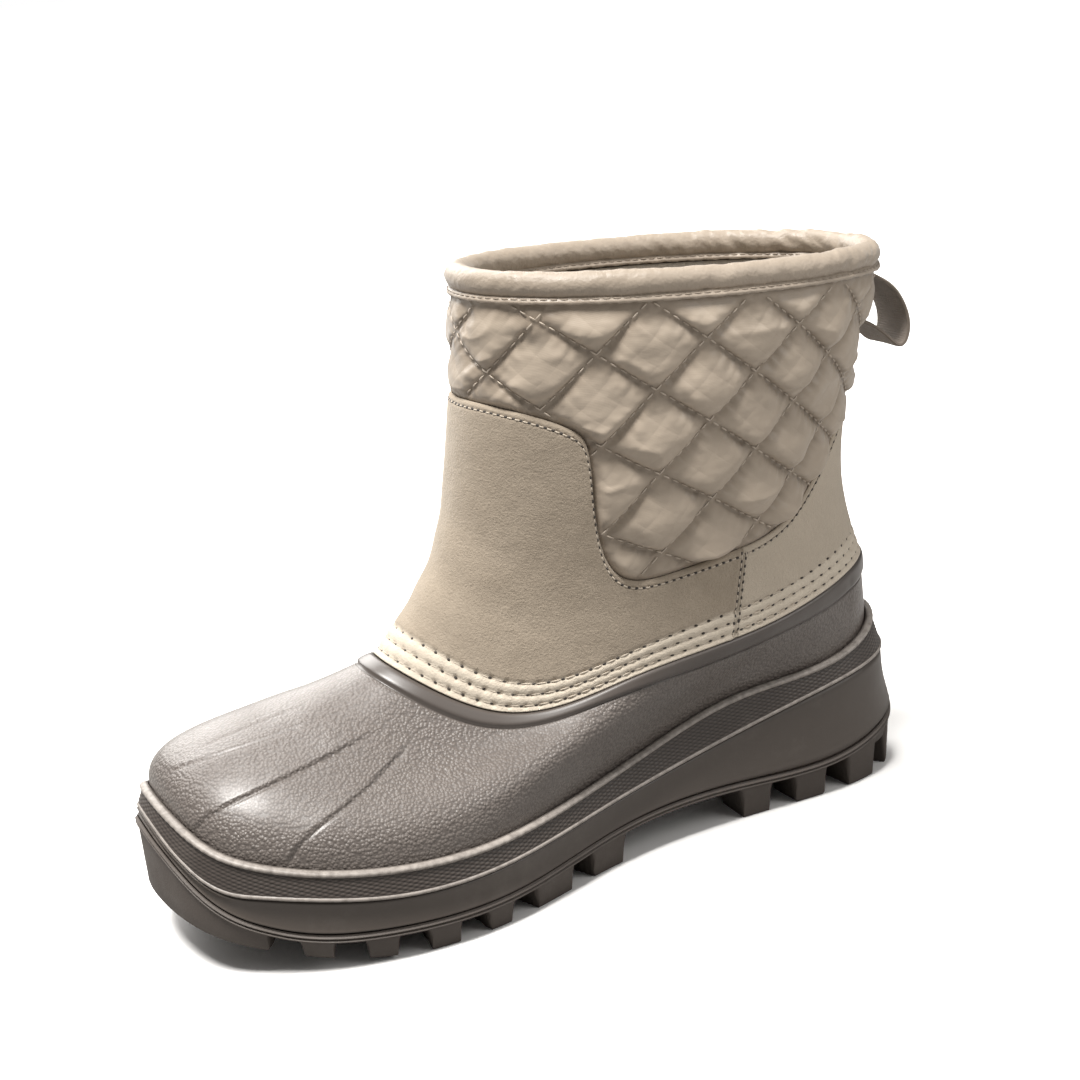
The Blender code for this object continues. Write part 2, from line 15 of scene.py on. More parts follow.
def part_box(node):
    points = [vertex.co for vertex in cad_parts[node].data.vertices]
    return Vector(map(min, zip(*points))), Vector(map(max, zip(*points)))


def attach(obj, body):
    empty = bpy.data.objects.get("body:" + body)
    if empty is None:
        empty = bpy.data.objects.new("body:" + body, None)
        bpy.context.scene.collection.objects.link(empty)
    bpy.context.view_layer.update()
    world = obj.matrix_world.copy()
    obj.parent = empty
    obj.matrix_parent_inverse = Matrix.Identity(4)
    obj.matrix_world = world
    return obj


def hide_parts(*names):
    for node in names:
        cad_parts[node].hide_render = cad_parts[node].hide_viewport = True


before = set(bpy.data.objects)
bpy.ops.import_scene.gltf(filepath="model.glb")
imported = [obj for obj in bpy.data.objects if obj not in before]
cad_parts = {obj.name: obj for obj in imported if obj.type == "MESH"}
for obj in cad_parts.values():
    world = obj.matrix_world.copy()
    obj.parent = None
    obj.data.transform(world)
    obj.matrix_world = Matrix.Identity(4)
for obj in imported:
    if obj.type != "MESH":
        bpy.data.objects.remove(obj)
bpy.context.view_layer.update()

MM = 0.001
TAU = 2 * np.pi
UP = np.array([0.0, 0.0, 1.0])

# Forms of the boot, as its solids have them
LENGTH = 280.0
HEEL_CENTRE, TOE_CENTRE = -4.0, -6.0
OUTLINE = (
    # along, outer, inner
    (0.04, 18.5, 25.5), (0.14, 28.0, 35.5), (0.30, 29.5, 37.5), (0.46, 37.0, 38.5),
    (0.63, 54.5, 46.0), (0.78, 56.5, 49.0), (0.90, 46.0, 43.5), (0.975, 26.0, 29.5),
)
TREAD_TOP, BAND_LOW, BAND_TOP = 1, 2, 3  # columns of the next table
SIDE_LINES = (
    # along, tread top, band low, band top
    (0.00, 23.0, 45.5, 60.5), (0.12, 14.5, 42.0, 51.0), (0.28, 14.5, 33.0, 46.5), (0.42, 14.5, 25.5, 36.5),
    (0.60, 11.0, 21.5, 30.5), (0.78, 11.5, 22.0, 32.0), (0.92, 18.5, 27.5, 39.0), (0.97, 29.0, 33.0, 45.0),
    (1.00, 42.0, 44.5, 52.0),
)
TOE_SPRING, SPRING_START = 18.0, 0.70
HEEL_LEAN = (0.17, 38.0, 26.0, 0.2)  # slope of the side, height it leans about and from, part of the length
TOE_LEAN = (0.12, 40.0, 40.0, 0.2)
GAP = 0.3
BAND_THICK = 4.3
SHELL_INSET = BAND_THICK + GAP
SHELL_WALL = 2.8
SHELL_FLOW = (
    # along, lean at the band, lift at the band, slope at the throat, reach at the throat
    (0.00, 0.0, 7.0, 80.0, 7.0), (0.30, 16.0, 10.0, 84.0, 8.0), (0.60, 6.0, 16.0, 52.0, 15.0),
    (0.80, 2.0, 20.0, 36.0, 24.0), (0.93, 0.0, 21.0, 24.0, 36.0), (1.00, 0.0, 20.5, 17.0, 44.0),
)
THROAT_HEIGHT = ((0.00, 83.0), (0.30, 72.5), (0.60, 66.0), (0.85, 63.0), (1.00, 80.0))  # along, height
COLLAR_BACK, COLLAR_FRONT = 186.0, 196.0
LEG_CENTRE, LEG_FULLNESS = -2.0, 0.90
LEG = (
    # part of the way up, back, front, half breadth
    (0.00, 9.5, 194.5, 37.5), (0.25, 16.0, 171.5, 39.0), (0.50, 15.5, 161.8, 43.5),
    (0.75, 9.5, 156.5, 47.0), (1.00, -1.0, 153.5, 49.0),
)
COLLAR_LEVEL = 0.2
SUEDE = 1.8
SUEDE_SEAM = 76.0
SUEDE_EDGE = (
    # turn at the throat, turn at the upper edge, part of the way up
    (0.0, 0.0, 0.60), (22.0, 20.0, 0.575), (42.0, 40.0, 0.445), (62.0, 60.0, 0.295), (80.0, 80.0, 0.258),
    (96.0, 96.0, 0.253), (106.0, 107.0, 0.272), (114.0, 115.0, 0.335), (121.0, 120.0, 0.43),
    (128.0, 123.0, 0.54), (135.0, 126.0, 0.645), (143.0, 132.0, 0.69), (155.0, 148.0, 0.712),
    (180.0, 180.0, 0.708),
)
FOOT_RISES = (0.8, 0.55, 0.3, 0.12)  # rings of the foot's inside

# Sole
PLATE = 2.8
LUG_DRAFT, LUG_ROUND = 3.5, 0.8
GROOVE_WIDTH, GROOVE_REACH, GROOVE_DEEPEST = 9.0, 22.0, 11.0
GROOVES = (12.0, 36.0, 59.5, 144.0, 169.5, 189.5, 211.0, 231.5, 251.0)
ARCH = (77.0, 126.0)
CHANNEL = (19.0, 25.0)
MIDDLE_GROOVES = (46.0, 157.0, 180.0, 203.0, 226.0)
MIDDLE_GROOVE_WIDTH = 6.0
WALL_DRAFT = 1.1  # over which a lug's side drops
TREAD_INSET, TOE_FULLNESS = 1.9, 1.6
TOE_DRAFT = 1.7  # how fast the lugs' draft gives way to that fullness
FINE_RIB, FINE_RIB_PART = 0.75, 0.86
TOE_GROOVE = 0.12  # part of its depth that the inner groove next to the toe has
KNURL_PITCH, KNURL_CROSS, KNURL_HEIGHT = 1.3, 3.6, 0.36
KNURL_INSET = (0.95, 2.3)  # at its foot and its top
LIP_HEIGHT, LIP_OUT = 1.3, 0.6
RIB_HEIGHT, RIB_OUT = 1.9, 0.8
ROPE_PITCH, ROPE_DEPTH = 3.1, 0.08
TOE_LINES = (
    # turn near the throat, half way and at the band, lowest and highest rise, height of the pleat
    (144.0, 137.4, 140.5, 0.03, 0.80, 0.62), (151.8, 154.4, 162.6, 0.02, 0.80, 0.58),
    (164.0, 169.3, 179.0, 0.20, 0.78, 0.24), (173.0, 174.0, 177.0, 0.40, 0.78, 0.10),
)
TOE_LINE_WIDTH, TOE_PLEAT = 0.5, 6.5
BEAD_HEIGHT, BEAD_OUT, BEAD_RINGS = 6.2, 1.1, 14

# Quilting: seams run where u + v or u - v is whole, u round the leg and v up it
QUILTS_ROUND, QUILTS_UP = 11, 4.5
QUILT_LEAN, QUILT_PHASE = 0.34, 0.06
QUILT_DROP = (0.46, 0.70)  # how far the seams drop over the instep, and over which turn
QUILT_BASE, QUILT_BACK = -1.2, -5.0  # offsets of its seams and of its inside
QUILT_PUFF, QUILT_SAG = 3.8, 2.0
QUILT_ROUND, QUILT_SINK = 0.60, 0.78  # powers that fill a diamond out and move its crown down
QUILT_VALLEY = 0.045  # share of a diamond that lies flat along its seams
QUILT_SIZE = (37.0, 24.6)  # millimetres to one step of u and of v
QUILT_SIDE = 46.7  # length of a seam over one step of v
STITCH, STITCH_LIFT = 3.9, 0.35
QUILT_TOP = (1.925, 1.992)  # rises over which the collar pulls it flat
QUILT_EDGE = (0.0, 5.0)  # distances over which the suede's edge does
BESIDE_TAB, BELOW_TAB = (10.0, 16.0), (1.78, 1.84)  # where it is free of the loop's tab

# Hem and edge of the suede
HEM_ROWS = (1.9, 5.7, 9.6)
HEM_STITCH, HEM_SHIFT, EDGE_STITCH = 5.2, 0.37, 2.8
EDGE_ROW, SEAM_ROW, SEAM_TUCK = 1.9, 1.05, 1.2
HEM_WIDTH, EDGE_WIDTH = 12.4, 4.5  # parts of a panel with a fine grid
HOLE = 1.3
BENDS = ((1.13, 0.035, 0.55), (1.24, 0.05, 0.75), (1.37, 0.05, 0.4))  # instep creases: rise, width, depth

# Collar and loop
ROLL_RADIUS, ROLL_HALF_HEIGHT, ROLL_PROUD, ROLL_TALLER = 4.1, 4.1, 0.25, 0.25
STRIP = (
    # up, out from the collar: from the fold under the roll down to the lower edge
    (1.25, -1.25), (0.8, -0.75), (0.4, -0.35), (0.1, -0.08),
    (-0.25, 0.12), (-0.6, 0.16), (-0.95, 0.05), (-1.15, -0.3),
)
STRIP_BACK = -1.4
STRIP_STITCH = (0.45, -0.28, 3.3)  # up, out, pitch
LINING_FACE, LINING_BACK = -6.5, -5.3
FOOT_LINING = (1.6, 0.4)  # how far its face and its back lie inside the shell
LOOP_WIDTH, LOOP_THICK, LOOP_SQUARE = 20.0, 1.6, 0.35
LOOP_RIB, LOOP_SELVEDGE = 0.95, 1.4
LOOP_ROUTE = (
    # out from the back of the collar, up from it
    (-4.0, -4.3), (1.5, -7.4), (6.9, -11.9), (10.8, -19.0), (11.7, -26.5),
    (8.6, -31.5), (3.0, -27.2), (-3.5, -22.2), (-9.9, -19.3),
)
TAB_LOW, TAB_HIGH, TAB_HALF = 1.845, 1.985, 0.245  # rises, and half its breadth as a turn

# View: where the photograph was taken from, and the angles of its line of sight
CAMERA_AT = (591.5, -236.7, 298.4)
CAMERA_AZIMUTH, CAMERA_ELEVATION, CAMERA_ROLL = 67.6, 16.5, -5.5
CAMERA_LENS = 65.5


def joined(*parts):
    """Points from their coordinates."""
    return np.stack(np.broadcast_arrays(*parts), -1)


def unit(vectors):
    """Vectors cut to a length of 1."""
    return vectors / np.linalg.norm(vectors, axis=-1, keepdims=True)


def signed_power(value, power):
    """A power that keeps the sign of its value."""
    return np.sign(value) * np.abs(value) ** power


def spline(at, table, number=1):
    """Natural cubic spline through a numbered column of a table over its first, read at the given places."""
    table = np.asarray(table, float)
    knots, values = table[:, 0], table[:, number]
    step = np.diff(knots)
    grade = np.diff(values) / step
    count = len(knots)
    system, right = np.eye(count), np.zeros(count)
    for i in range(1, count - 1):
        system[i, i - 1 : i + 2] = step[i - 1], 2 * (step[i - 1] + step[i]), step[i]
        right[i] = 6 * (grade[i] - grade[i - 1])
    bend = np.linalg.solve(system, right)
    i = np.clip(np.searchsorted(knots, at) - 1, 0, count - 2)
    before, after, h = at - knots[i], knots[i + 1] - at, step[i]
    cubic = (bend[i] * after**3 + bend[i + 1] * before**3) / (6 * h)
    low, high = (values[k] / h - bend[k] * h / 6 for k in (i, i + 1))
    return cubic + low * after + high * before


def numbered(rows):
    """A table with even places from 0 to 1 before its columns."""
    return np.column_stack([np.linspace(0, 1, len(rows)), rows])


def along(turn):
    """Part of the length that a turn reaches, half of one minus its cosine."""
    return (1 - np.cos(turn)) / 2


def turn_at(part):
    """Turn that reaches a part of the length."""
    return np.arccos(1 - 2 * np.clip(part, 0, 1))


def step_up(value, low, high):
    """Smooth step from 0 at low to 1 at high."""
    t = np.clip((value - low) / (high - low), 0, 1)
    return t * t * (3 - 2 * t)


def step_down(value, low, high):
    """Smooth step from 1 at low to 0 at high."""
    return 1 - step_up(value, low, high)


def bump_at(value, centre, width):
    """Bell of height 1 about a centre."""
    return np.exp(-(((value - centre) / width) ** 2))


def scatter(cell, seed):
    """A fixed number from 0 to 1 for each whole-number cell: the fraction of a large multiple of a sine."""
    return np.modf(np.abs(np.sin(cell @ np.array([127.1, 311.7, 74.7]) + 19.19 * seed) * 43758.5453))[0]


def noise(points, size, seed):
    """Smooth noise from -1 to 1: random values on a lattice of that size, blended between its corners."""
    place = points / size
    cell = np.floor(place)
    t = place - cell
    t = t * t * (3 - 2 * t)
    total = 0.0
    for corner in np.ndindex(2, 2, 2):
        weight = np.prod(np.where(corner, t, 1 - t), axis=-1)
        total = total + weight * scatter(cell + corner, seed)
    return 2 * total - 1


def outline(turn, inset=0.0):
    """Plan of the sole as (across, from the heel), moved in from the widest line by an inset."""
    part, outer, inner = np.array(OUTLINE).T
    side = turn_at(part)
    knots = np.concatenate([[0], side, [np.pi], TAU - side[::-1]])
    across = np.concatenate([[HEEL_CENTRE], outer, [TOE_CENTRE], -inner[::-1]])
    rounds = joined(np.concatenate([knots - TAU, knots, knots + TAU]), np.tile(across, 3))

    def plan(angle):
        return joined(spline(np.mod(angle, TAU), rounds), LENGTH * along(angle))

    small = 1e-3
    way = plan(turn + small) - plan(turn - small)
    out = unit(joined(way[..., 1], -way[..., 0]))
    return plan(turn) - np.asarray(inset)[..., None] * out


def side_line(turn, number):
    """Height of a line round the side of the sole, a spline along its length."""
    return spline(along(turn), SIDE_LINES, number)


def standing(plan, height):
    """Points (x, y, z) from plan points and heights."""
    return joined(plan[..., 0], LENGTH / 2 - plan[..., 1], height)


def side_ring(turn, inset, height):
    """A ring round the sole at a height, inset from the widest line, leaning in at the heel and the toe."""
    part = along(turn)
    for near, (slope, about, lowest, reach) in ((part, HEEL_LEAN), (1 - part, TOE_LEAN)):
        inset = inset + np.clip(1 - near / reach, 0, 1) ** 2 * slope * (np.maximum(height, lowest) - about)
    return standing(outline(turn, inset), height)


def leg_loop(turn, part):
    """The leg: loops between the throat and the collar, full ellipses between their back and front."""
    back, front, half = (spline(part, LEG, i) for i in (1, 2, 3))
    reach = along(turn)
    side = signed_power(np.sin(turn), LEG_FULLNESS)
    plan = joined(LEG_CENTRE + half * side, back + (front - back) * reach)
    throat = spline(reach, THROAT_HEIGHT)
    collar = COLLAR_BACK + (COLLAR_FRONT - COLLAR_BACK) * reach
    return standing(plan, throat + (collar - throat) * part)


def collar_loop(turn):
    """The topmost loop of the leg."""
    return leg_loop(turn, 1.0)


def shell_curve(turn, part):
    """The foot: for each turn a cubic curve from the top of the band to the throat."""
    lean, lift, slope, reach = (spline(along(turn), SHELL_FLOW, i)[..., None] for i in range(1, 5))
    lean, slope = np.radians(lean), np.radians(slope)
    top = side_line(turn, BAND_TOP)
    start, wide = (side_ring(turn, inset, top) for inset in (SHELL_INSET, SHELL_INSET - 1))
    end = leg_loop(turn, 0.0)
    inward = unit((end - start) * (1, 1, 0))
    first = start + lift * (np.cos(lean) * UP + np.sin(lean) * (wide - start))
    last = end - reach * (np.cos(slope) * inward + np.sin(slope) * UP)
    p = part[..., None]
    return (1 - p) ** 3 * start + 3 * p * (1 - p) ** 2 * first + 3 * p**2 * (1 - p) * last + p**3 * end


def skin(turn, rise, offset=0.0):
    """The upper's surface, moved out by an offset along its normal, which levels out at the collar."""
    turn, rise = np.broadcast_arrays(turn, rise)

    def surface(angle, level):
        foot = shell_curve(angle, np.clip(level, 0, 1))
        leg = leg_loop(angle, np.clip(level - 1, 0, 1))
        return np.where((level <= 1)[..., None], foot, leg)

    turn_step, rise_step = 0.02, 0.05
    round_way = surface(turn + turn_step, rise) - surface(turn - turn_step, rise)
    up_way = surface(turn, np.minimum(rise + rise_step, 2)) - surface(turn, np.maximum(rise - rise_step, 0))
    out = np.cross(up_way, round_way)
    out[..., 2] *= np.clip((2 - rise) / COLLAR_LEVEL, 0, 1)
    return surface(turn, rise) + np.asarray(offset)[..., None] * unit(out)


def from_throat(turn, distance):
    """Rise that lies a distance above the throat, or below it where negative."""
    step = 0.05 if distance >= 0 else -0.05
    length = np.linalg.norm(skin(turn, 1 + step) - skin(turn, 1.0), axis=-1)
    return 1 + step * np.abs(distance) / length


def suede_edge(part):
    """Turn at the throat, turn and rise at the upper edge, along the suede from the back to the toe."""
    foot, turn, up = (spline(part, numbered(SUEDE_EDGE), i) for i in (1, 2, 3))
    return np.radians(foot), np.radians(turn), 1 + up


def run_lengths(points, axis=0):
    """Length along a row of points, from 0 at its start."""
    steps = np.linalg.norm(np.diff(points, axis=axis), axis=-1)
    zero = np.zeros_like(np.take(steps, [0], axis=axis))
    return np.concatenate([zero, np.cumsum(steps, axis=axis)], axis=axis)


def walk(place, run, points):
    """Points at given lengths along a row of points."""
    return joined(*(np.interp(place, run, values) for values in points.T))


def turns(count):
    """Equal steps once round."""
    return np.arange(count) * TAU / count


def even_turns(count, loop=outline):
    """Turns that step evenly round a loop of points: the sole's outline, or the collar."""
    fine = np.linspace(0, TAU, 2881)
    length = run_lengths(loop(fine))
    return np.interp(np.arange(count) * length[-1] / count, length, fine)


def length_round(loop):
    """Length once round a loop of points."""
    return run_lengths(loop(np.linspace(0, TAU, 721)))[-1]


collar_low, collar_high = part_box("collar_binding")
COLLAR_MIDDLE = np.array([LEG_CENTRE, (LENGTH - LEG[-1][1] - LEG[-1][2]) / 2])
SHIFT = np.append(np.array(collar_low + collar_high)[:2] / 2 / MM - COLLAR_MIDDLE, 0.0)


def placed(points):
    """Points in metres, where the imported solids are."""
    return (np.asarray(points) + SHIFT) * MM


# Meshes
def put(name, data):
    """An object in the scene, at its origin."""
    thing = bpy.data.objects.new(name, data)
    bpy.context.scene.collection.objects.link(thing)
    return thing


def make_mesh(name, points, face_sets, uv_sets=None, marks=None, merge=False, sharp=None):
    """An object from points in millimetres and arrays of faces, with UVs by corner and marks by point."""
    mesh = bpy.data.meshes.new(name)
    corners = np.concatenate([faces.ravel() for faces in face_sets])
    sizes = np.concatenate([np.full(len(faces), faces.shape[1]) for faces in face_sets])
    mesh.vertices.add(len(points))
    mesh.vertices.foreach_set("co", placed(points).astype(np.float32).ravel())
    mesh.loops.add(len(corners))
    mesh.loops.foreach_set("vertex_index", corners.astype(np.int32))
    mesh.polygons.add(len(sizes))
    mesh.polygons.foreach_set("loop_start", (np.cumsum(sizes) - sizes).astype(np.int32))
    mesh.update(calc_edges=True)
    if uv_sets:
        uv = np.concatenate([uv.reshape(-1, 2) for uv in uv_sets])
        mesh.uv_layers.new(name="lie").data.foreach_set("uv", uv.astype(np.float32).ravel())
    for label, values in (marks or {}).items():
        mark = mesh.attributes.new(label, "FLOAT", "POINT")
        mark.data.foreach_set("value", np.asarray(values, np.float32).ravel())
    if merge:
        body = bmesh.new()
        body.from_mesh(mesh)
        bmesh.ops.remove_doubles(body, verts=body.verts, dist=1e-6)
        bmesh.ops.dissolve_degenerate(body, edges=body.edges, dist=1e-7)
        body.to_mesh(mesh)
        body.free()
    mesh.shade_smooth()
    if sharp:
        mesh.set_sharp_from_angle(angle=np.radians(sharp))
    return put(name, mesh)


def grid_corners(rows, columns, wrap_rows, wrap_columns):
    """Row and column of each quad's corners, rows going up the outside while columns follow the turn."""
    r, c = np.indices((rows - 1 + wrap_rows, columns - 1 + wrap_columns)).reshape(2, -1, 1)
    return r + (0, 1, 1, 0), c + (0, 0, 1, 1)


def grid_faces(rows, columns, *wraps):
    """Quads of a grid as numbers of its points, its last row or column joined to the first where it wraps."""
    r, c = grid_corners(rows, columns, *wraps)
    return r % rows * columns + c % columns


def grid_uv(u, v, *size):
    """UV of the quads' corners, in millimetres of u and v, which have one more entry where the grid wraps."""
    corners = grid_corners(*size)
    return joined(u[corners], v[corners])


def loop_piece(name, rings, marks=None, lie=None):
    """A wall round the boot from rings of points, up its outside and down its inside, with lengths as UV."""
    rings = np.asarray(rings)
    size = (*rings.shape[:2], True, True)
    full = np.pad(rings, ((0, 1), (0, 1), (0, 0)), mode="wrap")
    u, v = lie or np.broadcast_arrays(run_lengths(full[len(rings) // 3]), run_lengths(full).mean(1)[:, None])
    return make_mesh(name, rings.reshape(-1, 3), [grid_faces(*size)], [grid_uv(u, v, *size)], marks)


def strip_piece(name, rings, marks=None):
    """A closed strip from rings of points that wrap across its rows, its two ends closed with flat faces."""
    rows, columns = rings.shape[:2]
    size = rows, columns, True, False
    ring = np.concatenate([rings, rings[:1]])
    first = np.arange(rows) * columns
    faces = [grid_faces(*size), np.stack([first, (first + columns - 1)[::-1]])]
    uv = [grid_uv(run_lengths(ring, 1), run_lengths(ring), *size), np.zeros((2, rows, 2))]
    return make_mesh(name, rings.reshape(-1, 3), faces, uv, marks)


def capped_piece(name, rings, across=2, under=None, over=None, sharp=None):
    """A slab from rings of its side, its underside and top filled across, at given heights or straight."""
    rows, columns = rings.shape[:2]
    half = columns // 2 + 1
    points, faces = [rings.reshape(-1, 3)], [grid_faces(rows, columns, False, True)]
    first = rows * columns
    for ring, level, way in ((rings[0], under, 1), (rings[-1], over, -1)):
        left, right = ring[:half, None], np.roll(ring[::-1], 1, axis=0)[:half, None]
        count = across if level else 2
        weight = np.linspace(0, 1, count)[None, :, None]
        fill = left * (1 - weight) + right * weight
        if level:
            fill[:, 1:-1, 2] = level(fill)[:, 1:-1]
        points.append(fill.reshape(-1, 3))
        faces.append(first + grid_faces(half, count, False, False)[:, ::way])
        first += half * count
    return make_mesh(name, np.concatenate(points), faces, merge=True, sharp=sharp)


def thread_piece(name, starts, ends, outs, radius, bow, flatness=0.7):
    """Many short threads joined: each a rounded rod from start to end that bows out along its normal."""
    sides, rows = 5, 5
    stations = np.array([0.0, 0.14, 0.5, 0.86, 1.0])
    swell = np.array([0.2, 0.8, 1.0, 0.8, 0.2])
    lift = np.sin(np.pi * stations) * bow
    way = unit(ends - starts)
    aside = unit(np.cross(way, outs))
    out = np.cross(aside, way)
    angle = turns(sides)
    middle = starts[:, None] + (ends - starts)[:, None] * stations[:, None] + out[:, None] * lift[:, None]
    rim = np.cos(angle)[:, None] * aside[:, None] + flatness * np.sin(angle)[:, None] * out[:, None]
    points = middle[:, :, None] + radius * swell[:, None, None] * rim[:, None]
    each = (np.arange(len(starts)) * rows * sides)[:, None, None]
    lids = np.stack([np.arange(sides), (rows - 1) * sides + np.arange(sides)[::-1]])
    tube = grid_faces(rows, sides, False, True)
    faces = [(one + each).reshape(-1, one.shape[1])[:, ::-1] for one in (tube, lids)]
    return make_mesh(name, points.reshape(-1, 3), faces)


# Pieces of the sole
def sole_place(points, inset=0.0):
    """Distance from the heel, turn there, and distance in from the nearer side of the sole's outline."""
    from_heel = np.clip(LENGTH / 2 - points[..., 1], 0, LENGTH)
    turn = turn_at(from_heel / LENGTH)
    outer, inner = outline(np.stack([turn, TAU - turn]), inset)[..., 0]
    return from_heel, turn, np.minimum(outer - points[..., 0], points[..., 0] - inner)


def tread_height(points):
    """Height of the tread's underside: lugs on the ground or the grooves' roof, drafted sides between."""
    from_heel, turn, depth = sole_place(points)
    plan = joined(points[..., 0], LENGTH / 2 - points[..., 1])
    lift = np.clip((from_heel / LENGTH - SPRING_START) / (1 - SPRING_START), 0, 1)
    ground = TOE_SPRING * lift**2
    roof = np.minimum(side_line(turn, TREAD_TOP) - PLATE, ground + GROOVE_DEEPEST)

    def within(value, limit):
        return step_down(value, limit, limit + WALL_DRAFT)

    def past(value, limit):
        return step_up(value, limit - WALL_DRAFT, limit)

    groove = past(from_heel, ARCH[0]) * within(from_heel, ARCH[1])
    for station in GROOVES:
        for angle in (turn_at(station / LENGTH), TAU - turn_at(station / LENGTH)):
            edge = outline(angle)
            inward = outline(angle, 1.0) - edge
            reach = (plan - edge) @ inward
            aside = np.abs((plan - edge) @ np.array([-inward[1], inward[0]]))
            shallow = station == GROOVES[-1] and angle > np.pi
            cut = within(aside, GROOVE_WIDTH / 2) * within(reach, GROOVE_REACH)
            groove = np.maximum(groove, cut * (TOE_GROOVE if shallow else 1.0))
    middle = past(depth, CHANNEL[1])
    groove = np.maximum(groove, step_up(depth, CHANNEL[0], CHANNEL[0] + WALL_DRAFT) * (1 - middle))
    for station in MIDDLE_GROOVES:
        groove = np.maximum(groove, middle * within(np.abs(from_heel - station), MIDDLE_GROOVE_WIDTH / 2))
    return ground + (roof - ground) * groove


def toe_fullness(turn):
    """How far the sole stands out past its drafted side at the toe."""
    return TOE_FULLNESS * step_up(along(turn), 0.90, 0.98)


def make_outsole():
    """A fine double rib over the drafted faces of the lugs, their lower edges rounded. Under it the tread."""
    turn = turns(960)
    roof = side_line(turn, TREAD_TOP) - PLATE
    full = toe_fullness(turn)
    draft = LUG_DRAFT - TOE_DRAFT * full
    low = tread_height(side_ring(turn, draft + LUG_ROUND, 0.0))
    stations = np.radians((0, 30, 60, 90)), (0.35, 0.7, 0.97), np.linspace(0, 1, 13)
    angle, up, rib = (np.array(steps)[:, None] for steps in stations)
    height = low + LUG_ROUND + up * (roof - low - LUG_ROUND)
    wave = np.abs(np.sin(TAU * np.clip(rib / FINE_RIB_PART, 0, 1)))
    rings = (
        side_ring(turn, draft + LUG_ROUND * (1 - np.sin(angle)), low + LUG_ROUND * (1 - np.cos(angle))),
        side_ring(turn, draft + (TREAD_INSET - full - draft) * up, np.minimum(height, roof)),
        side_ring(turn, TREAD_INSET - full - FINE_RIB * wave, roof + rib * PLATE),
    )
    return capped_piece("outsole_tread", np.concatenate(rings), 72, under=tread_height, sharp=38)


def make_midsole():
    """The wedge's wall: slightly hollow, rounded into the band above and over a fine lip below."""
    turn = turns(420)
    low, high = side_line(turn, TREAD_TOP) + GAP, side_line(turn, BAND_LOW)
    part = np.linspace(0, 1, 21)[:, None]
    hollow = 0.75 * np.sin(np.pi * np.clip((part - 0.06) / 0.9, 0, 1))
    lip = 0.35 * bump_at(part, 0.035, 0.03)
    turn_in = 1.2 * step_up(part, 0.93, 1.0) ** 2 + 0.9 * step_down(part, 0.0, 0.03)
    inset = 1.7 - 0.6 * part + hollow - lip + turn_in - 0.6 * toe_fullness(turn)
    return capped_piece("midsole_wall", side_ring(turn, inset, low + part * (high - low)))


def make_band():
    """The strip round the foot: a fine lip, a net of two families of slanting ridges, a twisted rib above."""
    count = 1200
    turn, share = even_turns(count), np.arange(count) / count
    low, high = side_line(turn, BAND_LOW) + GAP, side_line(turn, BAND_TOP)
    around = length_round(outline)
    crossings = TAU / 2 * share * round(around / KNURL_CROSS)
    ropes = TAU * share * round(around / ROPE_PITCH)
    foot, crest = KNURL_INSET
    # each ring: inset, height, how far it is knurled, how far it is rib
    shape = [(BAND_THICK, low, 0.0, 0.0), (foot + 0.3, low, 0.0, 0.0)]
    for angle in np.radians((-70, -25, 25, 70)):
        out, up = LIP_OUT * np.cos(angle), LIP_HEIGHT / 2 * (1 + np.sin(angle))
        shape.append((foot - out, low + 0.1 + up, 0.0, 1.0))
    first, last = low + LIP_HEIGHT + 0.15, high - RIB_HEIGHT - 0.15
    for part in np.linspace(0, 1, 42):
        ends = step_up(part, 0, 0.04) * step_up(1 - part, 0, 0.04)
        shape.append((foot + (crest - foot) * part, first + part * (last - first), ends, 0.0))
    for angle in np.radians((-75, -45, -15, 15, 45, 75)):
        twist = ROPE_DEPTH * np.cos(ropes + 2 * angle)
        over = np.clip(np.sin(angle), 0, 1) ** 3
        out, up = (RIB_OUT + twist) * np.cos(angle) - over, RIB_HEIGHT / 2 * (np.sin(angle) - 1)
        shape.append((crest - out, high + up, 0.0, 1.0))
    shape += [(BAND_THICK - 0.1, high, 0.0, 0.6), (BAND_THICK, high - 1.0, 0.0, 0.0)]
    rings, ridges, ribs = [], [], []
    for inset, height, knurled, rib in shape:
        level = np.pi * height / KNURL_PITCH
        ridge = (np.abs(np.cos(level + crossings)) + np.abs(np.cos(level - crossings))) / 2
        ridges.append(np.where(knurled > 0, ridge, 1.0))
        ribs.append(np.full(count, rib))
        rings.append(side_ring(turn, inset + KNURL_HEIGHT * (0.5 - ridge) * knurled, height))
    return loop_piece("knurled_band", rings, {"ridge": ridges, "rib": ribs})


# Pieces of the upper
def toe_pleats(turn, rise, points):
    """Moulded pleats fanned over the toe: each climbs gently to its line, then drops into a fine groove."""
    relief = 0.0
    reach = np.maximum(np.linalg.norm(points[..., :2] - (TOE_CENTRE, -60.0), axis=-1), 12.0)
    for near, middle, band, low, high, height in TOE_LINES:
        centre = np.radians(spline(np.clip(rise, 0, 0.85), ((0.0, band), (0.4, middle), (0.8, near))))
        span = step_up(rise, low - 0.03, low + 0.02) * step_down(rise, high - 0.12, high + 0.02)
        for aside in ((turn - centre) * reach, (TAU - turn - centre) * reach):
            climb = np.exp(-np.clip(aside, 0, None) / TOE_PLEAT)
            climb = climb * step_up(aside, -TOE_LINE_WIDTH, TOE_LINE_WIDTH)
            relief = relief + height * span * (climb - 0.75 * bump_at(aside, -0.4, TOE_LINE_WIDTH))
    return relief


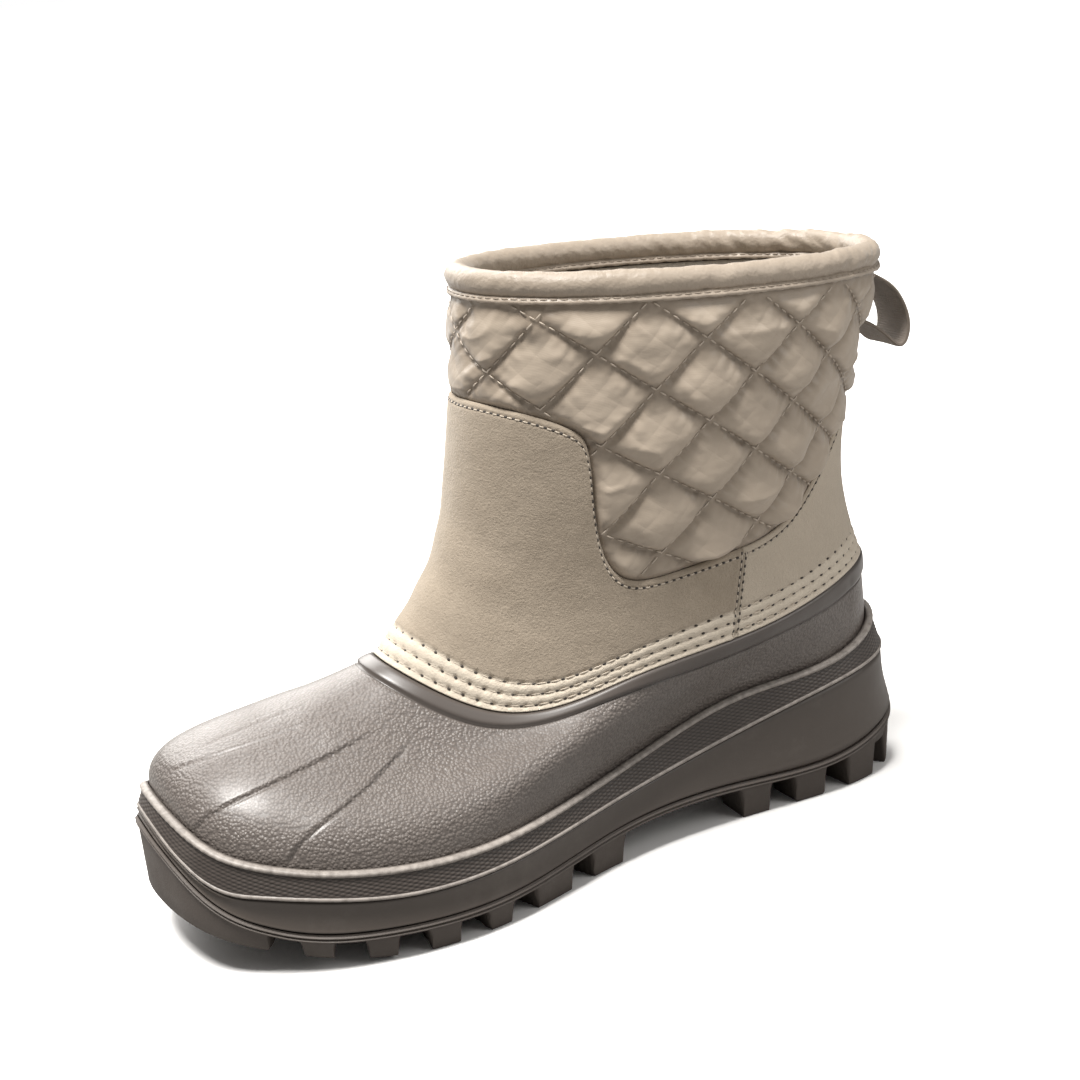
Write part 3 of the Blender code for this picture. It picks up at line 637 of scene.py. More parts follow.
def make_shell():
    """The moulded foot: its outside with the toe's pleats, the smooth bead of its top edge, its inside."""
    crowding = 0.45  # how far the columns crowd towards the toe
    spread = turns(760)
    turn = spread + crowding * np.sin(spread)
    low = side_line(turn, BAND_LOW) + GAP
    rises = np.linspace(0, 1, 66)[:, None] ** 0.9 * from_throat(turn, -BEAD_HEIGHT - 1.0)
    base = skin(turn, rises)
    relief = toe_pleats(turn, rises, base) + 0.20 * noise(base, 34.0, 3) + 0.05 * noise(base, 9.0, 4)
    rings = [side_ring(turn, SHELL_INSET, low), *skin(turn, rises, relief * step_up(rises, 0.0, 0.04))]
    grained = len(rings)
    for below in np.linspace(BEAD_HEIGHT + 0.7, 0, BEAD_RINGS):
        arch = np.clip(1 - ((below - BEAD_HEIGHT / 2) / (BEAD_HEIGHT / 2 + 0.1)) ** 4, 0, 1) ** 0.5
        crease = 0.45 * bump_at(below, BEAD_HEIGHT + 0.35, 0.4)
        rings.append(skin(turn, from_throat(turn, -below), BEAD_OUT * arch - crease))
    rings += [skin(turn, 1.0, depth) for depth in (0.2, -1.0, -SHELL_WALL)]
    rings += [skin(turn, rise, -SHELL_WALL) for rise in FOOT_RISES]
    rings += [side_ring(turn, SHELL_INSET + SHELL_WALL, level) for level in (side_line(turn, BAND_TOP), low)]
    grain = np.ones((len(rings), len(turn)))
    grain[grained : grained + BEAD_RINGS] = 0.0
    return loop_piece("rubber_foot", rings, {"grain": grain})


def suede_grid(first, last, columns):
    """Turns, rises, and distances from hem and upper edge, of a panel between two places on its edge."""
    part = np.linspace(first, last, columns)
    foot, turn, edge = suede_edge(1 - np.abs(1 - np.abs(part)))
    side = np.where((part < 0) | (part > 1), -1, 1)
    whole = np.where(part > 1, TAU, 0)
    foot, turn = foot * side + whole, turn * side + whole
    low = from_throat(foot, 0.4)
    up = np.linspace(0, 1, 60)[:, None]
    height = run_lengths(skin(foot + (turn - foot) * up, low + (edge - low) * up))[-1]
    hem, top = np.linspace(0, HEM_WIDTH, 31)[:, None], np.linspace(EDGE_WIDTH, 0, 12)[:, None]
    between = np.linspace(0, 1, 34)[1:-1, None]
    middle = hem[-1] + between * (height - hem[-1] - top[0])
    distance = np.concatenate([np.broadcast_to(hem, (len(hem), columns)), middle, height - top])
    up = distance / height
    return foot + (turn - foot) * up, low + (edge - low) * up, distance, height - distance


def suede_relief(turn, rise, hem, top, lap):
    """Offset of the suede: pressed in along its stitch rows, flared at the hem, lapped at its sides."""
    points = skin(turn, rise)
    run = run_lengths(points, 1)
    side = np.minimum(run, run[:, -1:] - run)
    relief = 0.25 * noise(points, 30.0, 11) + 0.07 * noise(points, 8.0, 12)
    rows = [(hem, row, HEM_STITCH, HEM_SHIFT * k, 0.8, 0.30, 0.65) for k, row in enumerate(HEM_ROWS)]
    rows.append((top, EDGE_ROW, EDGE_STITCH, 0.0, 0.6, 0.20, 0.35))
    for gap, row, pitch, shift, width, press, hole in rows:
        at_hole = (0.5 + 0.5 * np.cos(TAU * (run / pitch + shift))) ** 4
        relief -= (press + hole * at_hole) * bump_at(gap, row, width)
    for low, high in zip(HEM_ROWS, HEM_ROWS[1:]):
        relief += 0.14 * bump_at(hem, (low + high) / 2, 1.3)
    relief += 0.45 * np.exp(-hem / 3.0) - 0.8 * np.exp(-top / 0.8)
    if lap > 0:
        row = 0.25 * bump_at(side, SEAM_ROW, 0.5)
        relief += 0.35 * step_down(side, 1.5, 4.0) - 0.4 * np.exp(-side / 0.4) - row
    else:
        row = 0.3 * bump_at(side, SEAM_TUCK + SEAM_ROW, 0.6)
        relief -= 0.9 * step_down(side, SEAM_TUCK, SEAM_TUCK + 0.6) + row
    bend = bump_at(np.abs(turn - np.pi), 0.0, 0.75)
    sway = 0.015 * np.sin(3 * turn) + 0.02 * np.abs(turn - np.pi)
    for level, width, depth in BENDS:
        relief -= depth * bend * bump_at(rise, level - sway, width)
    return relief


def make_suede(name, first, last, columns, lap):
    """A suede panel: its stitched outside, folded over a thin edge above, cut raw below, and its back."""
    turn, rise, hem, top = suede_grid(first, last, columns)
    relief = suede_relief(turn, rise, hem, top, lap)
    part = np.array((0.25, 0.5, 0.75))[:, None]
    fold = skin(turn[-1], rise[-1:], relief[-1] * (1 - part) - SUEDE * part)
    fold = fold + (UP * 0.3) * np.sin(np.pi * part)[..., None]
    rings = np.concatenate([skin(turn, rise, relief), fold, skin(turn, rise, -SUEDE)[::-4]])
    hemmed = 0.82 * step_down(hem, HEM_ROWS[-1] - 0.5, HEM_ROWS[-1] + 2.0)
    # painted light: the heel panel is made paler all over, as if better lit; hem and cut edge are pale in
    # their own colour
    light = np.maximum(0.55 * (lap < 0), np.maximum(bump_at(hem, 0.0, 1.2), hemmed))
    light = np.concatenate([light, np.full((len(rings) - len(light), columns), 0.3)])
    return strip_piece(name, rings, {"edge": light}), (turn, rise, hem, top, relief)


def stitches_along(points, outs, pitch, shift, fill):
    """Starts, ends and normals of stitches along a line of points, as long as a part of their pitch."""
    run = run_lengths(points)
    centre = (np.arange(int(run[-1] / pitch) + 1) + 0.5 - shift) * pitch
    centre = centre[(centre > 0.4 * pitch) & (centre < run[-1] - 0.4 * pitch)]
    reach = fill * pitch / 2
    return walk(centre - reach, run, points), walk(centre + reach, run, points), walk(centre, run, outs)


def suede_lines(grid, lap):
    """A panel's stitch rows as points, normals, pitch and shift: hem, upper edge, side seams."""
    turn, rise, hem, top, relief = grid
    plain = skin(turn, rise)
    outs = skin(turn, rise, 1.0) - plain
    cloth = plain + relief[..., None] * outs
    for k, row in enumerate(HEM_ROWS):
        i = np.argmin(np.abs(hem - row).mean(1))
        yield cloth[i], outs[i], HEM_STITCH, HEM_SHIFT * k
    i = np.argmin(np.abs(top - EDGE_ROW).mean(1))
    yield cloth[i], outs[i], EDGE_STITCH, 0.0
    run = run_lengths(plain, 1)
    for side in (run, run[:, -1:] - run):
        i = np.argmin(np.abs(side - SEAM_ROW - (SEAM_TUCK if lap < 0 else 0.0)).mean(0))
        yield cloth[:, i], outs[:, i], EDGE_STITCH, 0.0


def suede_stitches(grid, lap, lift, length=None):
    """Starts, ends and normals of the threads of a panel's rows, or of the needle holes between them."""
    rows = []
    for points, outs, pitch, shift in suede_lines(grid, lap):
        shift, fill = (shift + 0.5, length / pitch) if length else (shift, 0.7)
        rows.append(stitches_along(points + lift * outs, outs, pitch, shift, fill))
    return [np.concatenate(parts) for parts in zip(*rows)]


# Quilted leg
def quilt_place(u, v):
    """Turn and rise of quilt steps: even round the collar, leaned on the sides, dropped over the instep."""
    fine = np.linspace(0, TAU, 1441)
    length = run_lengths(collar_loop(fine))
    even = np.interp(np.mod(u + QUILT_PHASE, QUILTS_ROUND) / QUILTS_ROUND * length[-1], length, fine)
    depth, reach = QUILT_DROP
    rise = 1 + (v - depth * bump_at(even, np.pi, reach)) / QUILTS_UP
    return even + QUILT_LEAN * (rise - 2) * np.sin(even), rise


def edge_distance(points):
    """Distance in millimetres from the suede's upper edge, over the whole boot."""
    _, turn, rise = suede_edge(np.linspace(0, 1, 260))
    edge = np.concatenate([skin(turn, rise), skin(-turn, rise)])
    flat = points.reshape(-1, 3)
    near = [np.sqrt(((chunk[:, None] - edge) ** 2).sum(-1).min(1)) for chunk in np.array_split(flat, 60)]
    return np.concatenate(near).reshape(points.shape[:-1])


def above_suede(turn, rise):
    """How far above the suede's upper edge a place lies, as a rise."""
    _, edge_turn, edge_rise = suede_edge(np.linspace(0, 1, 400))
    folded = np.mod(turn, TAU)
    return rise - np.interp(np.minimum(folded, TAU - folded), edge_turn, edge_rise)


def seam_gaps(u, v):
    """How far a place is from the seams below it to those above it, for both families, from 0 to 1."""
    return np.mod(u + v, 1), 1 - np.mod(u - v, 1)


def quilt_puff(u, v):
    """Puff of a diamond, from 0 on its seams to 1: a rounded product of two sines, fullest low down."""
    low, span = QUILT_VALLEY, 1 - 2 * QUILT_VALLEY
    waves = [np.sin(np.pi * np.clip((gap**QUILT_SINK - low) / span, 0, 1)) for gap in seam_gaps(u, v)]
    return (waves[0] * waves[1]) ** QUILT_ROUND


def quilt_creases(u, v):
    """Puckers that run out from the stitches of both families of seams, and long folds in the diamonds."""
    total = 0.0
    first, second = seam_gaps(u, v)
    for gap, run, line, seed in ((first, u - v, np.round(u + v), 21), (second, u + v, np.round(u - v), 22)):
        gap = np.minimum(gap, 1 - gap)
        pull = 0.5 + 0.5 * noise(joined(run * 2.0, line * 3.7, 0.0), 1.0, seed)
        seat = joined(run * 3.4, line * 3.7, gap * 2.0)
        total = total + noise(seat, 1.0, seed + 3) * pull * bump_at(gap, 0.15, 0.11)
    fold = noise(joined(u * 1.9, v * 3.2 + u, 0.0), 1.0, 31)
    ridge = 1 - np.abs(noise(joined(u * 1.3 + 0.7 * v, v * 2.9 - 0.5 * u, 1.0), 1.0, 32))
    return total + (0.8 * fold + 0.9 * ridge**4 - 0.2) * quilt_puff(u, v)


def behind_loop(turn):
    """Distance round the leg from the middle of its back."""
    return np.abs(np.mod(turn + np.pi, TAU) - np.pi) * LEG[-1][-1]


def quilt_surface(u, v):
    """Points of the quilted outside, with its puff: flat beside the suede, the collar and the pull loop."""
    turn, rise = quilt_place(u, v)
    base = skin(turn, rise)
    gap = np.where(above_suede(turn, rise) > 0, edge_distance(base), 0.0)
    free = step_up(gap, *QUILT_EDGE) * step_down(rise, *QUILT_TOP)
    free = free * np.maximum(step_up(behind_loop(turn), *BESIDE_TAB), step_down(rise, *BELOW_TAB))
    gathers = 0.55 * noise(joined(u * 5.5, v * 0.6, 1.0), 1.0, 33) * bump_at(rise, 1.95, 0.035)
    flatter = 0.45 * bump_at(turn, np.pi, 0.5) + 0.6 * bump_at(behind_loop(turn), 0.0, 36.0)
    puff = quilt_puff(u, v) * free * (1 - flatter)
    press = 0.85 * step_down(gap, 0.0, 1.5)
    offset = QUILT_BASE - press + QUILT_PUFF * puff + quilt_creases(u, v) * free + gathers
    return skin(turn, rise, offset) - UP * (QUILT_SAG * puff)[..., None], puff, turn, rise


def quilt_foot(u):
    """Quilt coordinate v a little below the suede's upper edge, so that the quilt starts behind the suede."""
    wide, up = np.meshgrid(u, np.linspace(0, QUILTS_UP + QUILT_DROP[0], 260))
    hidden = above_suede(*quilt_place(wide, up)) < 0
    edge = np.where(hidden, up, 0).max(0)
    reach = np.arange(-26, 27)
    lowest = np.stack([np.roll(edge, k) for k in reach]).min(0)
    weight = bump_at(reach, 0.0, 13.0)
    return sum(np.roll(lowest, k) * w for k, w in zip(reach, weight)) / weight.sum() - 0.22


def make_quilt():
    """The padded leg: its quilted outside from behind the suede to the collar, then down its inside."""
    u = np.linspace(0, QUILTS_ROUND, 595)[:-1]
    low, high = quilt_foot(u), QUILTS_UP * (0.999 + 1 - quilt_place(u, 0.0)[1])
    up = low + np.linspace(0, 1, 122)[:, None] * (high - low)
    outside, puff, turn, rise = quilt_surface(np.broadcast_to(u, up.shape), up)
    down = [-1, -30, -60, -90, 0]
    inner = skin(turn[down], rise[down], QUILT_BACK)
    # the crown mark sets the painted shade of the seams; the inside rows get none, so they are fully shaded
    crown = np.concatenate([puff, np.zeros((len(inner), len(u)))])
    v = np.concatenate([up, up[down], up[:1]])
    v = np.concatenate([v, v[:, :1]], axis=1)
    lie = np.broadcast_to(np.append(u, QUILTS_ROUND), v.shape), v
    return loop_piece("quilted_leg", np.concatenate([outside, inner]), {"crown": crown}, lie)


def quilt_stitches():
    """Starts, ends and normals of the stitches along both families of seams, where the quilt shows."""
    rows = []
    step = STITCH / QUILT_SIDE
    reach = 0.33 * step
    for slant in (1, -1):
        lines = np.arange(-8, QUILTS_ROUND + 8)
        line, v = (a.ravel() for a in np.meshgrid(lines, np.arange(0.1, QUILTS_UP + QUILT_DROP[0], step)))
        u = line - slant * v
        turn, rise = quilt_place(u, v)
        clear = (u >= 0) & (u < QUILTS_ROUND) & (rise > 1) & (rise < 1.985) & (above_suede(turn, rise) > 0)
        clear &= (behind_loop(turn) > 11) | (rise < 1.8)
        u, v, turn, rise = (values[clear] for values in (u, v, turn, rise))
        shown = edge_distance(skin(turn, rise)) > 1.6
        u, v, turn, rise = (values[shown] for values in (u, v, turn, rise))
        outs = skin(turn, rise, 1.0) - skin(turn, rise)
        ends = [quilt_surface(u + slant * way, v - way)[0] + STITCH_LIFT * outs for way in (reach, -reach)]
        rows.append((*ends, outs))
    return [np.concatenate(parts) for parts in zip(*rows)]


# Collar, lining and loop
def collar_ring(turn, out, up):
    """A ring round the collar, out and up from its edge."""
    base = skin(turn, 2.0)
    outward = skin(turn, 2.0, 1.0) - base
    return base + np.asarray(out)[..., None] * outward + np.asarray(up)[..., None] * UP


def make_roll():
    """The padded roll: an oval section whose nylon puckers across it, more at the back of the collar."""
    turn = even_turns(680, collar_loop)
    length = run_lengths(collar_loop(turn))
    slack = 0.5 + 1.1 * bump_at(np.mod(turn + np.pi, TAU) - np.pi, 0.0, 1.3)
    angle = np.linspace(0, TAU, 29)[:-1, None] - np.radians(100)
    sheared = length + 5.0 * np.sin(angle)
    seat = joined(sheared / 5.2, np.cos(angle) * 0.8, np.sin(angle) * 0.5)
    pucker = 0.42 * slack * noise(seat, 1.0, 41) + 0.22 * slack * noise(seat * 2.3, 1.0, 42)
    radius = ROLL_RADIUS + pucker + 0.18 * noise(seat * 0.22, 1.0, 43)
    out = ROLL_PROUD - ROLL_RADIUS + radius * np.cos(angle)
    height = GAP + ROLL_HALF_HEIGHT + (radius + ROLL_TALLER) * np.sin(angle)
    return loop_piece("collar_roll", collar_ring(turn, out, height))


def strip_out(out, outside):
    """Distance out from the collar, or the like distance on the inner side of the roll."""
    return out if outside else 2 * (ROLL_PROUD - ROLL_RADIUS) - out


def make_strip(name, outside):
    """The binding's flat lip: its face from the fold under the roll, its lower edge and its back."""
    turn = even_turns(440, collar_loop)
    length = run_lengths(collar_loop(turn))
    wave = 0.14 * np.sin(TAU * length / 7.9) + 0.10 * np.sin(TAU * length / 3.1 + 1.0)
    soft = 0.12 * noise(collar_loop(turn), 9.0, 44)
    up, out = np.array(STRIP[::-1]).T[..., None]
    face = collar_ring(turn, strip_out(out, outside) + soft, up + wave * step_up(-up, 0.3, 1.4))
    back = [collar_ring(turn, strip_out(STRIP_BACK, outside), level) for level, _ in (STRIP[0], STRIP[-1])]
    return loop_piece(name, np.concatenate([face, back])[:, :: 1 if outside else -1])


def collar_stitches(outside):
    """Stitches round the collar, in the fold between the roll and its lip."""
    up, out, pitch = STRIP_STITCH
    turn = even_turns(int(length_round(collar_loop) / pitch), collar_loop)
    out = strip_out(out, outside)
    outs = collar_ring(turn, out + 1, up) - collar_ring(turn, out, up)
    reach = 0.36 * pitch / np.linalg.norm(collar_loop(turn + 0.5) - collar_loop(turn - 0.5), axis=-1)
    return collar_ring(turn - reach, out, up), collar_ring(turn + reach, out, up), outs if outside else -outs


def make_lining():
    """The felt inside the leg and foot: down from the binding to the insole, with its own thickness."""
    turn = even_turns(220, collar_loop)
    rise = np.linspace(1.985, 1.0, 34)[:, None]
    base = skin(turn, rise)
    soft = 0.35 * noise(base, 17.0, 51) + 0.15 * noise(base, 5.0, 52)
    sides = []
    for offset, depth in zip((LINING_FACE + soft, LINING_BACK), FOOT_LINING):
        foot = skin(turn, np.array(FOOT_RISES)[:, None], -SHELL_WALL - depth)
        edge = side_ring(turn, SHELL_INSET + SHELL_WALL + depth, side_line(turn, BAND_LOW) + 3.0)
        sides.append(np.concatenate([skin(turn, rise, offset), foot, edge[None]]))
    return loop_piece("felt_lining", np.concatenate([sides[1][::-1], sides[0]]))


def make_insole():
    """The footbed: a felt slab with a rounded edge, a little dished along its middle."""
    turn = turns(240)
    thick = 4.5
    edge = SHELL_INSET + SHELL_WALL + 0.5

    def top(points):
        _, at, depth = sole_place(points, edge)
        soft = 0.25 * noise(points * (1, 1, 0), 14.0, 61)
        dish = 0.9 * step_up(np.clip(depth / 22, 0, 1), 0.25, 1.0)
        return side_line(at, BAND_LOW) + GAP + thick + soft - dish

    low = side_line(turn, BAND_LOW) + GAP
    rounded = ((0, 0.3), (2.6, 0), (3.8, 0.5), (thick, 1.6))  # up and in
    rings = [side_ring(turn, edge + inset, low + up) for up, inset in rounded]
    return capped_piece("insole_bed", np.array(rings), 30, over=top)


def make_loop():
    """The pull loop: a strip with ribs across it and plain selvedges, carried along its route."""
    fine = np.linspace(0, 1, 700)
    route = joined(*(spline(fine, numbered(LOOP_ROUTE), i) for i in (1, 2)))
    length = run_lengths(route)
    even = np.linspace(0, length[-1], 440)
    route = walk(even, length, route)
    way = unit(np.gradient(route, axis=0))
    aside = joined(-way[:, 1], way[:, 0])
    back = skin(np.zeros(1), 2.0)[0]
    rib = 0.13 * np.abs(np.sin(np.pi * even / LOOP_RIB)) - 0.06
    half = LOOP_WIDTH / 2
    angle = np.linspace(0, TAU, 29)[:-1, None]
    x = signed_power(np.cos(angle), LOOP_SQUARE) * half
    thick = signed_power(np.sin(angle), LOOP_SQUARE) * LOOP_THICK / 2
    height = thick + np.sign(thick) * rib * (np.abs(x) < half - LOOP_SELVEDGE) + 0.35 * (x / half) ** 2
    out, up = np.moveaxis(route + height[..., None] * aside, -1, 0)
    return strip_piece("pull_strap", joined(LEG_CENTRE + x, back[1] + out, back[2] + up)[::-1])


def make_tab():
    """The sewn patch that holds the loop, flat on the leg behind it."""
    across = np.linspace(-1, 1, 40)
    rise = np.linspace(TAB_LOW, TAB_HIGH, 60)[:, None]
    turn = across * TAB_HALF
    rim = np.minimum(1 - np.abs(across), np.minimum(rise - TAB_LOW, TAB_HIGH + 0.005 - rise) * 6)
    face = skin(turn, rise, -2.35 + 0.9 * step_up(rim, 0.0, 0.10))
    return strip_piece("loop_tab", np.concatenate([face, skin(turn, rise, -2.9)[::-1]]))


# Finishes
class Tree:
    """Adds nodes to a shader tree: a value that is a socket is linked, any other value is set."""

    def __init__(self, tree):
        self.tree = tree

    def feed(self, value, socket):
        if isinstance(value, bpy.types.NodeSocket):
            self.tree.links.new(value, socket)
        else:
            socket.default_value = value

    def add(self, kind, values=None, **settings):
        node = self.tree.nodes.new(kind if kind.startswith("Node") else "ShaderNode" + kind)
        for name, value in settings.items():
            setattr(node, name, value)
        for key, value in (values or {}).items():
            self.feed(value, node.inputs[key])
        return node

    def math(self, operation, a, b=0.0):
        return self.add("Math", {0: a, 1: b}, operation=operation).outputs[0]

    def plus(self, a, b):
        return self.math("ADD", a, b)

    def times(self, a, b):
        return self.math("MULTIPLY", a, b)

    def wave(self, value, turns_each):
        return self.math("SINE", self.times(value, turns_each))

    def mix(self, share, a, b):
        return self.add("Mix", {0: share, 6: a, 7: b}, data_type="RGBA").outputs[2]

    def noise(self, scale, detail=2.0, rough=0.5, stretch=None, place=None):
        place = place or self.place
        if stretch:
            place = self.add("Mapping", {"Vector": place, "Scale": stretch}).outputs[0]
        values = {"Vector": place, "Scale": scale, "Detail": detail, "Roughness": rough}
        return self.add("TexNoise", values).outputs[0]

    def ramp(self, value, low, high, to_low=0.0, to_high=1.0):
        return self.add("MapRange", {0: value, 1: low, 2: high, 3: to_low, 4: to_high}).outputs[0]


class Group(Tree):
    """A node group with named sockets, whose first input is the place that its patterns are read at."""

    def __init__(self, name, inputs, outputs):
        super().__init__(bpy.data.node_groups.new(name, "ShaderNodeTree"))
        for way, sockets in (("INPUT", inputs), ("OUTPUT", outputs)):
            for label, kind in sockets.items():
                self.tree.interface.new_socket(label, in_out=way, socket_type="NodeSocket" + kind)
        self.given = self.add("NodeGroupInput").outputs
        self.out = self.add("NodeGroupOutput").inputs
        self.place = self.given[0]

    def scale(self):
        return self.math("DIVIDE", 1.0, self.given["Size"])


SIZED, HEIGHT = {"Vector": "Vector", "Size": "Float"}, {"Height": "Float"}
PEBBLE_WARP = 0.0002


def tone_group():
    """Colour that drifts: broad patches lighter and darker, and a fine mottle."""
    tree = Group("drifting_tone", {**SIZED, "Colour": "Color", "Amount": "Float"}, {"Colour": "Color"})
    scale = tree.scale()
    broad, fine = tree.noise(scale, 3.0, 0.55), tree.noise(tree.times(scale, 9.0))
    both = tree.plus(tree.times(broad, 0.7), tree.times(fine, 0.3))
    swing = tree.times(tree.math("SUBTRACT", both, 0.5), tree.given["Amount"])
    value = tree.plus(tree.times(swing, 2.0), 1.0)
    shade = tree.add("HueSaturation", {"Value": value, "Color": tree.given["Colour"]})
    tree.feed(shade.outputs[0], tree.out["Colour"])
    return tree.tree


def pebble_group():
    """Moulded leather grain: small cells with rounded tops and creases between, broken up by noise."""
    tree = Group("pebble_grain", SIZED, {**HEIGHT, "Crease": "Float"})
    scale = tree.scale()
    warp = tree.add("TexNoise", {"Vector": tree.place, "Scale": scale, "Detail": 1.0})
    shift = tree.add("VectorMath", {0: warp.outputs["Color"], 1: (PEBBLE_WARP,) * 3}, operation="MULTIPLY")
    place = tree.add("VectorMath", {0: tree.place, 1: shift.outputs[0]}).outputs[0]
    cells = tree.add("TexVoronoi", {"Vector": place, "Scale": scale}, feature="F1")
    top = tree.ramp(cells.outputs["Distance"], 0.15, 0.75, 1.0, 0.0)
    rough = tree.noise(tree.times(scale, 1.7), 3.0, 0.6)
    tree.feed(tree.plus(tree.times(top, 0.65), tree.times(rough, 0.3)), tree.out["Height"])
    tree.feed(tree.ramp(top, 0.0, 0.35, 1.0, 0.0), tree.out["Crease"])
    return tree.tree


def fibre_group():
    """Nap: short fibres as stretched noise in three directions, from 0 to 1."""
    tree = Group("fibre_nap", SIZED, HEIGHT)
    directions = ((1.0, 0.55, 0.8), (0.55, 1.0, 0.7), (0.8, 0.6, 1.0))
    strands = [tree.noise(tree.scale(), 3.0, 0.65, stretch) for stretch in directions]
    total = tree.plus(tree.plus(strands[0], strands[1]), strands[2])
    tree.feed(tree.times(total, 0.333), tree.out["Height"])
    return tree.tree


def weave_group():
    """Plain weave on a UV in millimetres: the greater of the waves along both threads."""
    tree = Group("plain_weave", {"UV": "Vector", "Pitch": "Float"}, HEIGHT)
    parts = tree.add("SeparateXYZ", {0: tree.place})
    each = tree.math("DIVIDE", TAU / 2, tree.given["Pitch"])
    waves = [tree.math("ABSOLUTE", tree.wave(parts.outputs[i], each)) for i in (0, 1)]
    tree.feed(tree.math("MAXIMUM", *waves), tree.out["Height"])
    return tree.tree


GROUPS = {"tone": tone_group(), "pebble": pebble_group(), "fibre": fibre_group(), "weave": weave_group()}


class Finish(Tree):
    """A material with a drifting tone (colour, patch size, amount) and plain values on its shader."""

    def __init__(self, name, tone, **plain):
        self.material = bpy.data.materials.new(name)
        self.material.use_nodes = True
        super().__init__(self.material.node_tree)
        self.shader = self.tree.nodes["Principled BSDF"]
        for key, value in plain.items():
            self.shader.inputs[key.replace("_", " ")].default_value = value
        self.place = self.add("TexCoord").outputs["Object"]
        colour, size, amount = tone
        values = {"Vector": self.place, "Colour": (*colour, 1.0), "Size": size, "Amount": amount}
        self.colour = self.group("tone", **values)[0]

    def group(self, label, **values):
        return self.add("Group", values, node_tree=GROUPS[label]).outputs

    def mark(self, name):
        return self.add("Attribute", attribute_name=name).outputs["Fac"]

    def lie(self):
        return self.add("UVMap", uv_map="lie").outputs[0]

    def set(self, key, socket):
        self.tree.links.new(socket, self.shader.inputs[key])

    def tint(self, share, colour):
        """Mixes a share of another colour into the finish."""
        self.colour = self.mix(share, self.colour, (*colour, 1.0))

    def spread(self, key, scale, low, high):
        """A shader value that varies over the surface between two limits."""
        self.set(key, self.ramp(self.noise(scale, 3.0), 0.3, 0.7, low, high))

    def done(self, *layers):
        """The material, with its colour, and a normal from heights and their depths, one over the other."""
        self.set("Base Color", self.colour)
        under = {}
        for height, depth in layers:
            values = {"Height": height, "Distance": depth, "Strength": 1.0, **under}
            normal = self.add("Bump", values).outputs[0]
            under = {"Normal": normal}
            self.set("Normal", normal)
        return self.material


def shell_rubber():
    """Pebbled rubber: broken gloss, wear in patches, painted shade in its creases, plain and dark along its
    bead.
    """
    tone = (0.138, 0.117, 0.104), 0.045, 0.14
    finish = Finish("shell_rubber", tone, IOR=1.5, Coat_Roughness=0.33, Coat_IOR=1.5)
    grain = finish.group("pebble", Vector=finish.place, Size=0.0011)
    shown = finish.mark("grain")
    patch_share = finish.ramp(finish.noise(34.0, 5.0, 0.7), 0.60, 0.74)
    finish.tint(finish.times(patch_share, 0.18), (0.27, 0.24, 0.22))
    # painted shade: the creases between the pebbles are darkened in the colour
    finish.tint(finish.times(grain["Crease"], finish.times(shown, 0.45)), (0.062, 0.051, 0.045))
    finish.tint(finish.ramp(shown, 0.0, 0.6, 1.0, 0.0), (0.072, 0.059, 0.051))
    finish.spread("Roughness", 60.0, 0.38, 0.52)
    finish.spread("Coat Weight", 60.0, 0.70, 0.45)
    return finish.done((finish.times(grain["Height"], shown), 0.0005), (finish.noise(2600.0), 0.00003))


def smooth_rubber(name, colour, rough, stipple, knurled=False):
    """Moulded rubber: varying gloss, fine stipple, dust patches, painted shade in knurls, wear and painted
    highlight on ribs.
    """
    finish = Finish(name, (colour, 0.05, 0.14), IOR=1.5, Coat_Roughness=0.4)
    dust = finish.ramp(finish.noise(26.0, 6.0, 0.7), 0.56, 0.78)
    finish.tint(finish.times(dust, 0.16), (0.30, 0.27, 0.24))
    if knurled:
        # painted shade: the knurl's grooves are darkened in the colour, its crests left plain
        finish.tint(finish.ramp(finish.mark("ridge"), 0.35, 0.9, 0.8, 0.0), (0.02, 0.016, 0.014))
        # ribs lightened partly by wear in patches and partly by a painted highlight on their crests
        patch_share = finish.ramp(finish.noise(420.0, 3.0, 0.6), 0.30, 0.62, 0.45, 0.95)
        finish.tint(finish.times(finish.ramp(finish.mark("rib"), 0.55, 1.0), patch_share), (0.36, 0.325, 0.295))
    finish.spread("Roughness", 80.0, *rough)
    return finish.done((finish.noise(1500.0, 3.0, 0.6), stipple), (finish.noise(90.0), 0.0002))


def suede_leather():
    """Napped suede: brushed patches, painted shade between fibres, pale hem and cut edge, painted light on
    the heel panel.
    """
    plain = {"Roughness": 0.95, "Sheen_Weight": 0.35, "Sheen_Roughness": 0.45, "Specular_IOR_Level": 0.15}
    tone = (0.395, 0.332, 0.260), 0.035, 0.24
    finish = Finish("suede_leather", tone, Sheen_Tint=(1.0, 0.95, 0.88, 1.0), **plain)
    nap = finish.group("fibre", Vector=finish.place, Size=0.0006)[0]
    brushed = finish.noise(52.0, 6.0, 0.68)
    finish.tint(finish.ramp(brushed, 0.46, 0.66, 0.0, 0.42), (0.33, 0.272, 0.208))
    # painted shade: the colour is darker where the nap is low, between the fibres
    finish.tint(finish.ramp(nap, 0.40, 0.58, 0.48, 0.0), (0.30, 0.245, 0.19))
    # the edge mark pales the hem and the cut edge, and puts painted light on the whole heel panel
    finish.tint(finish.ramp(finish.mark("edge"), 0.25, 0.95, 0.0, 0.8), (0.76, 0.68, 0.565))
    return finish.done((brushed, 0.0009), (nap, 0.0005), (finish.noise(4200.0), 0.00009))


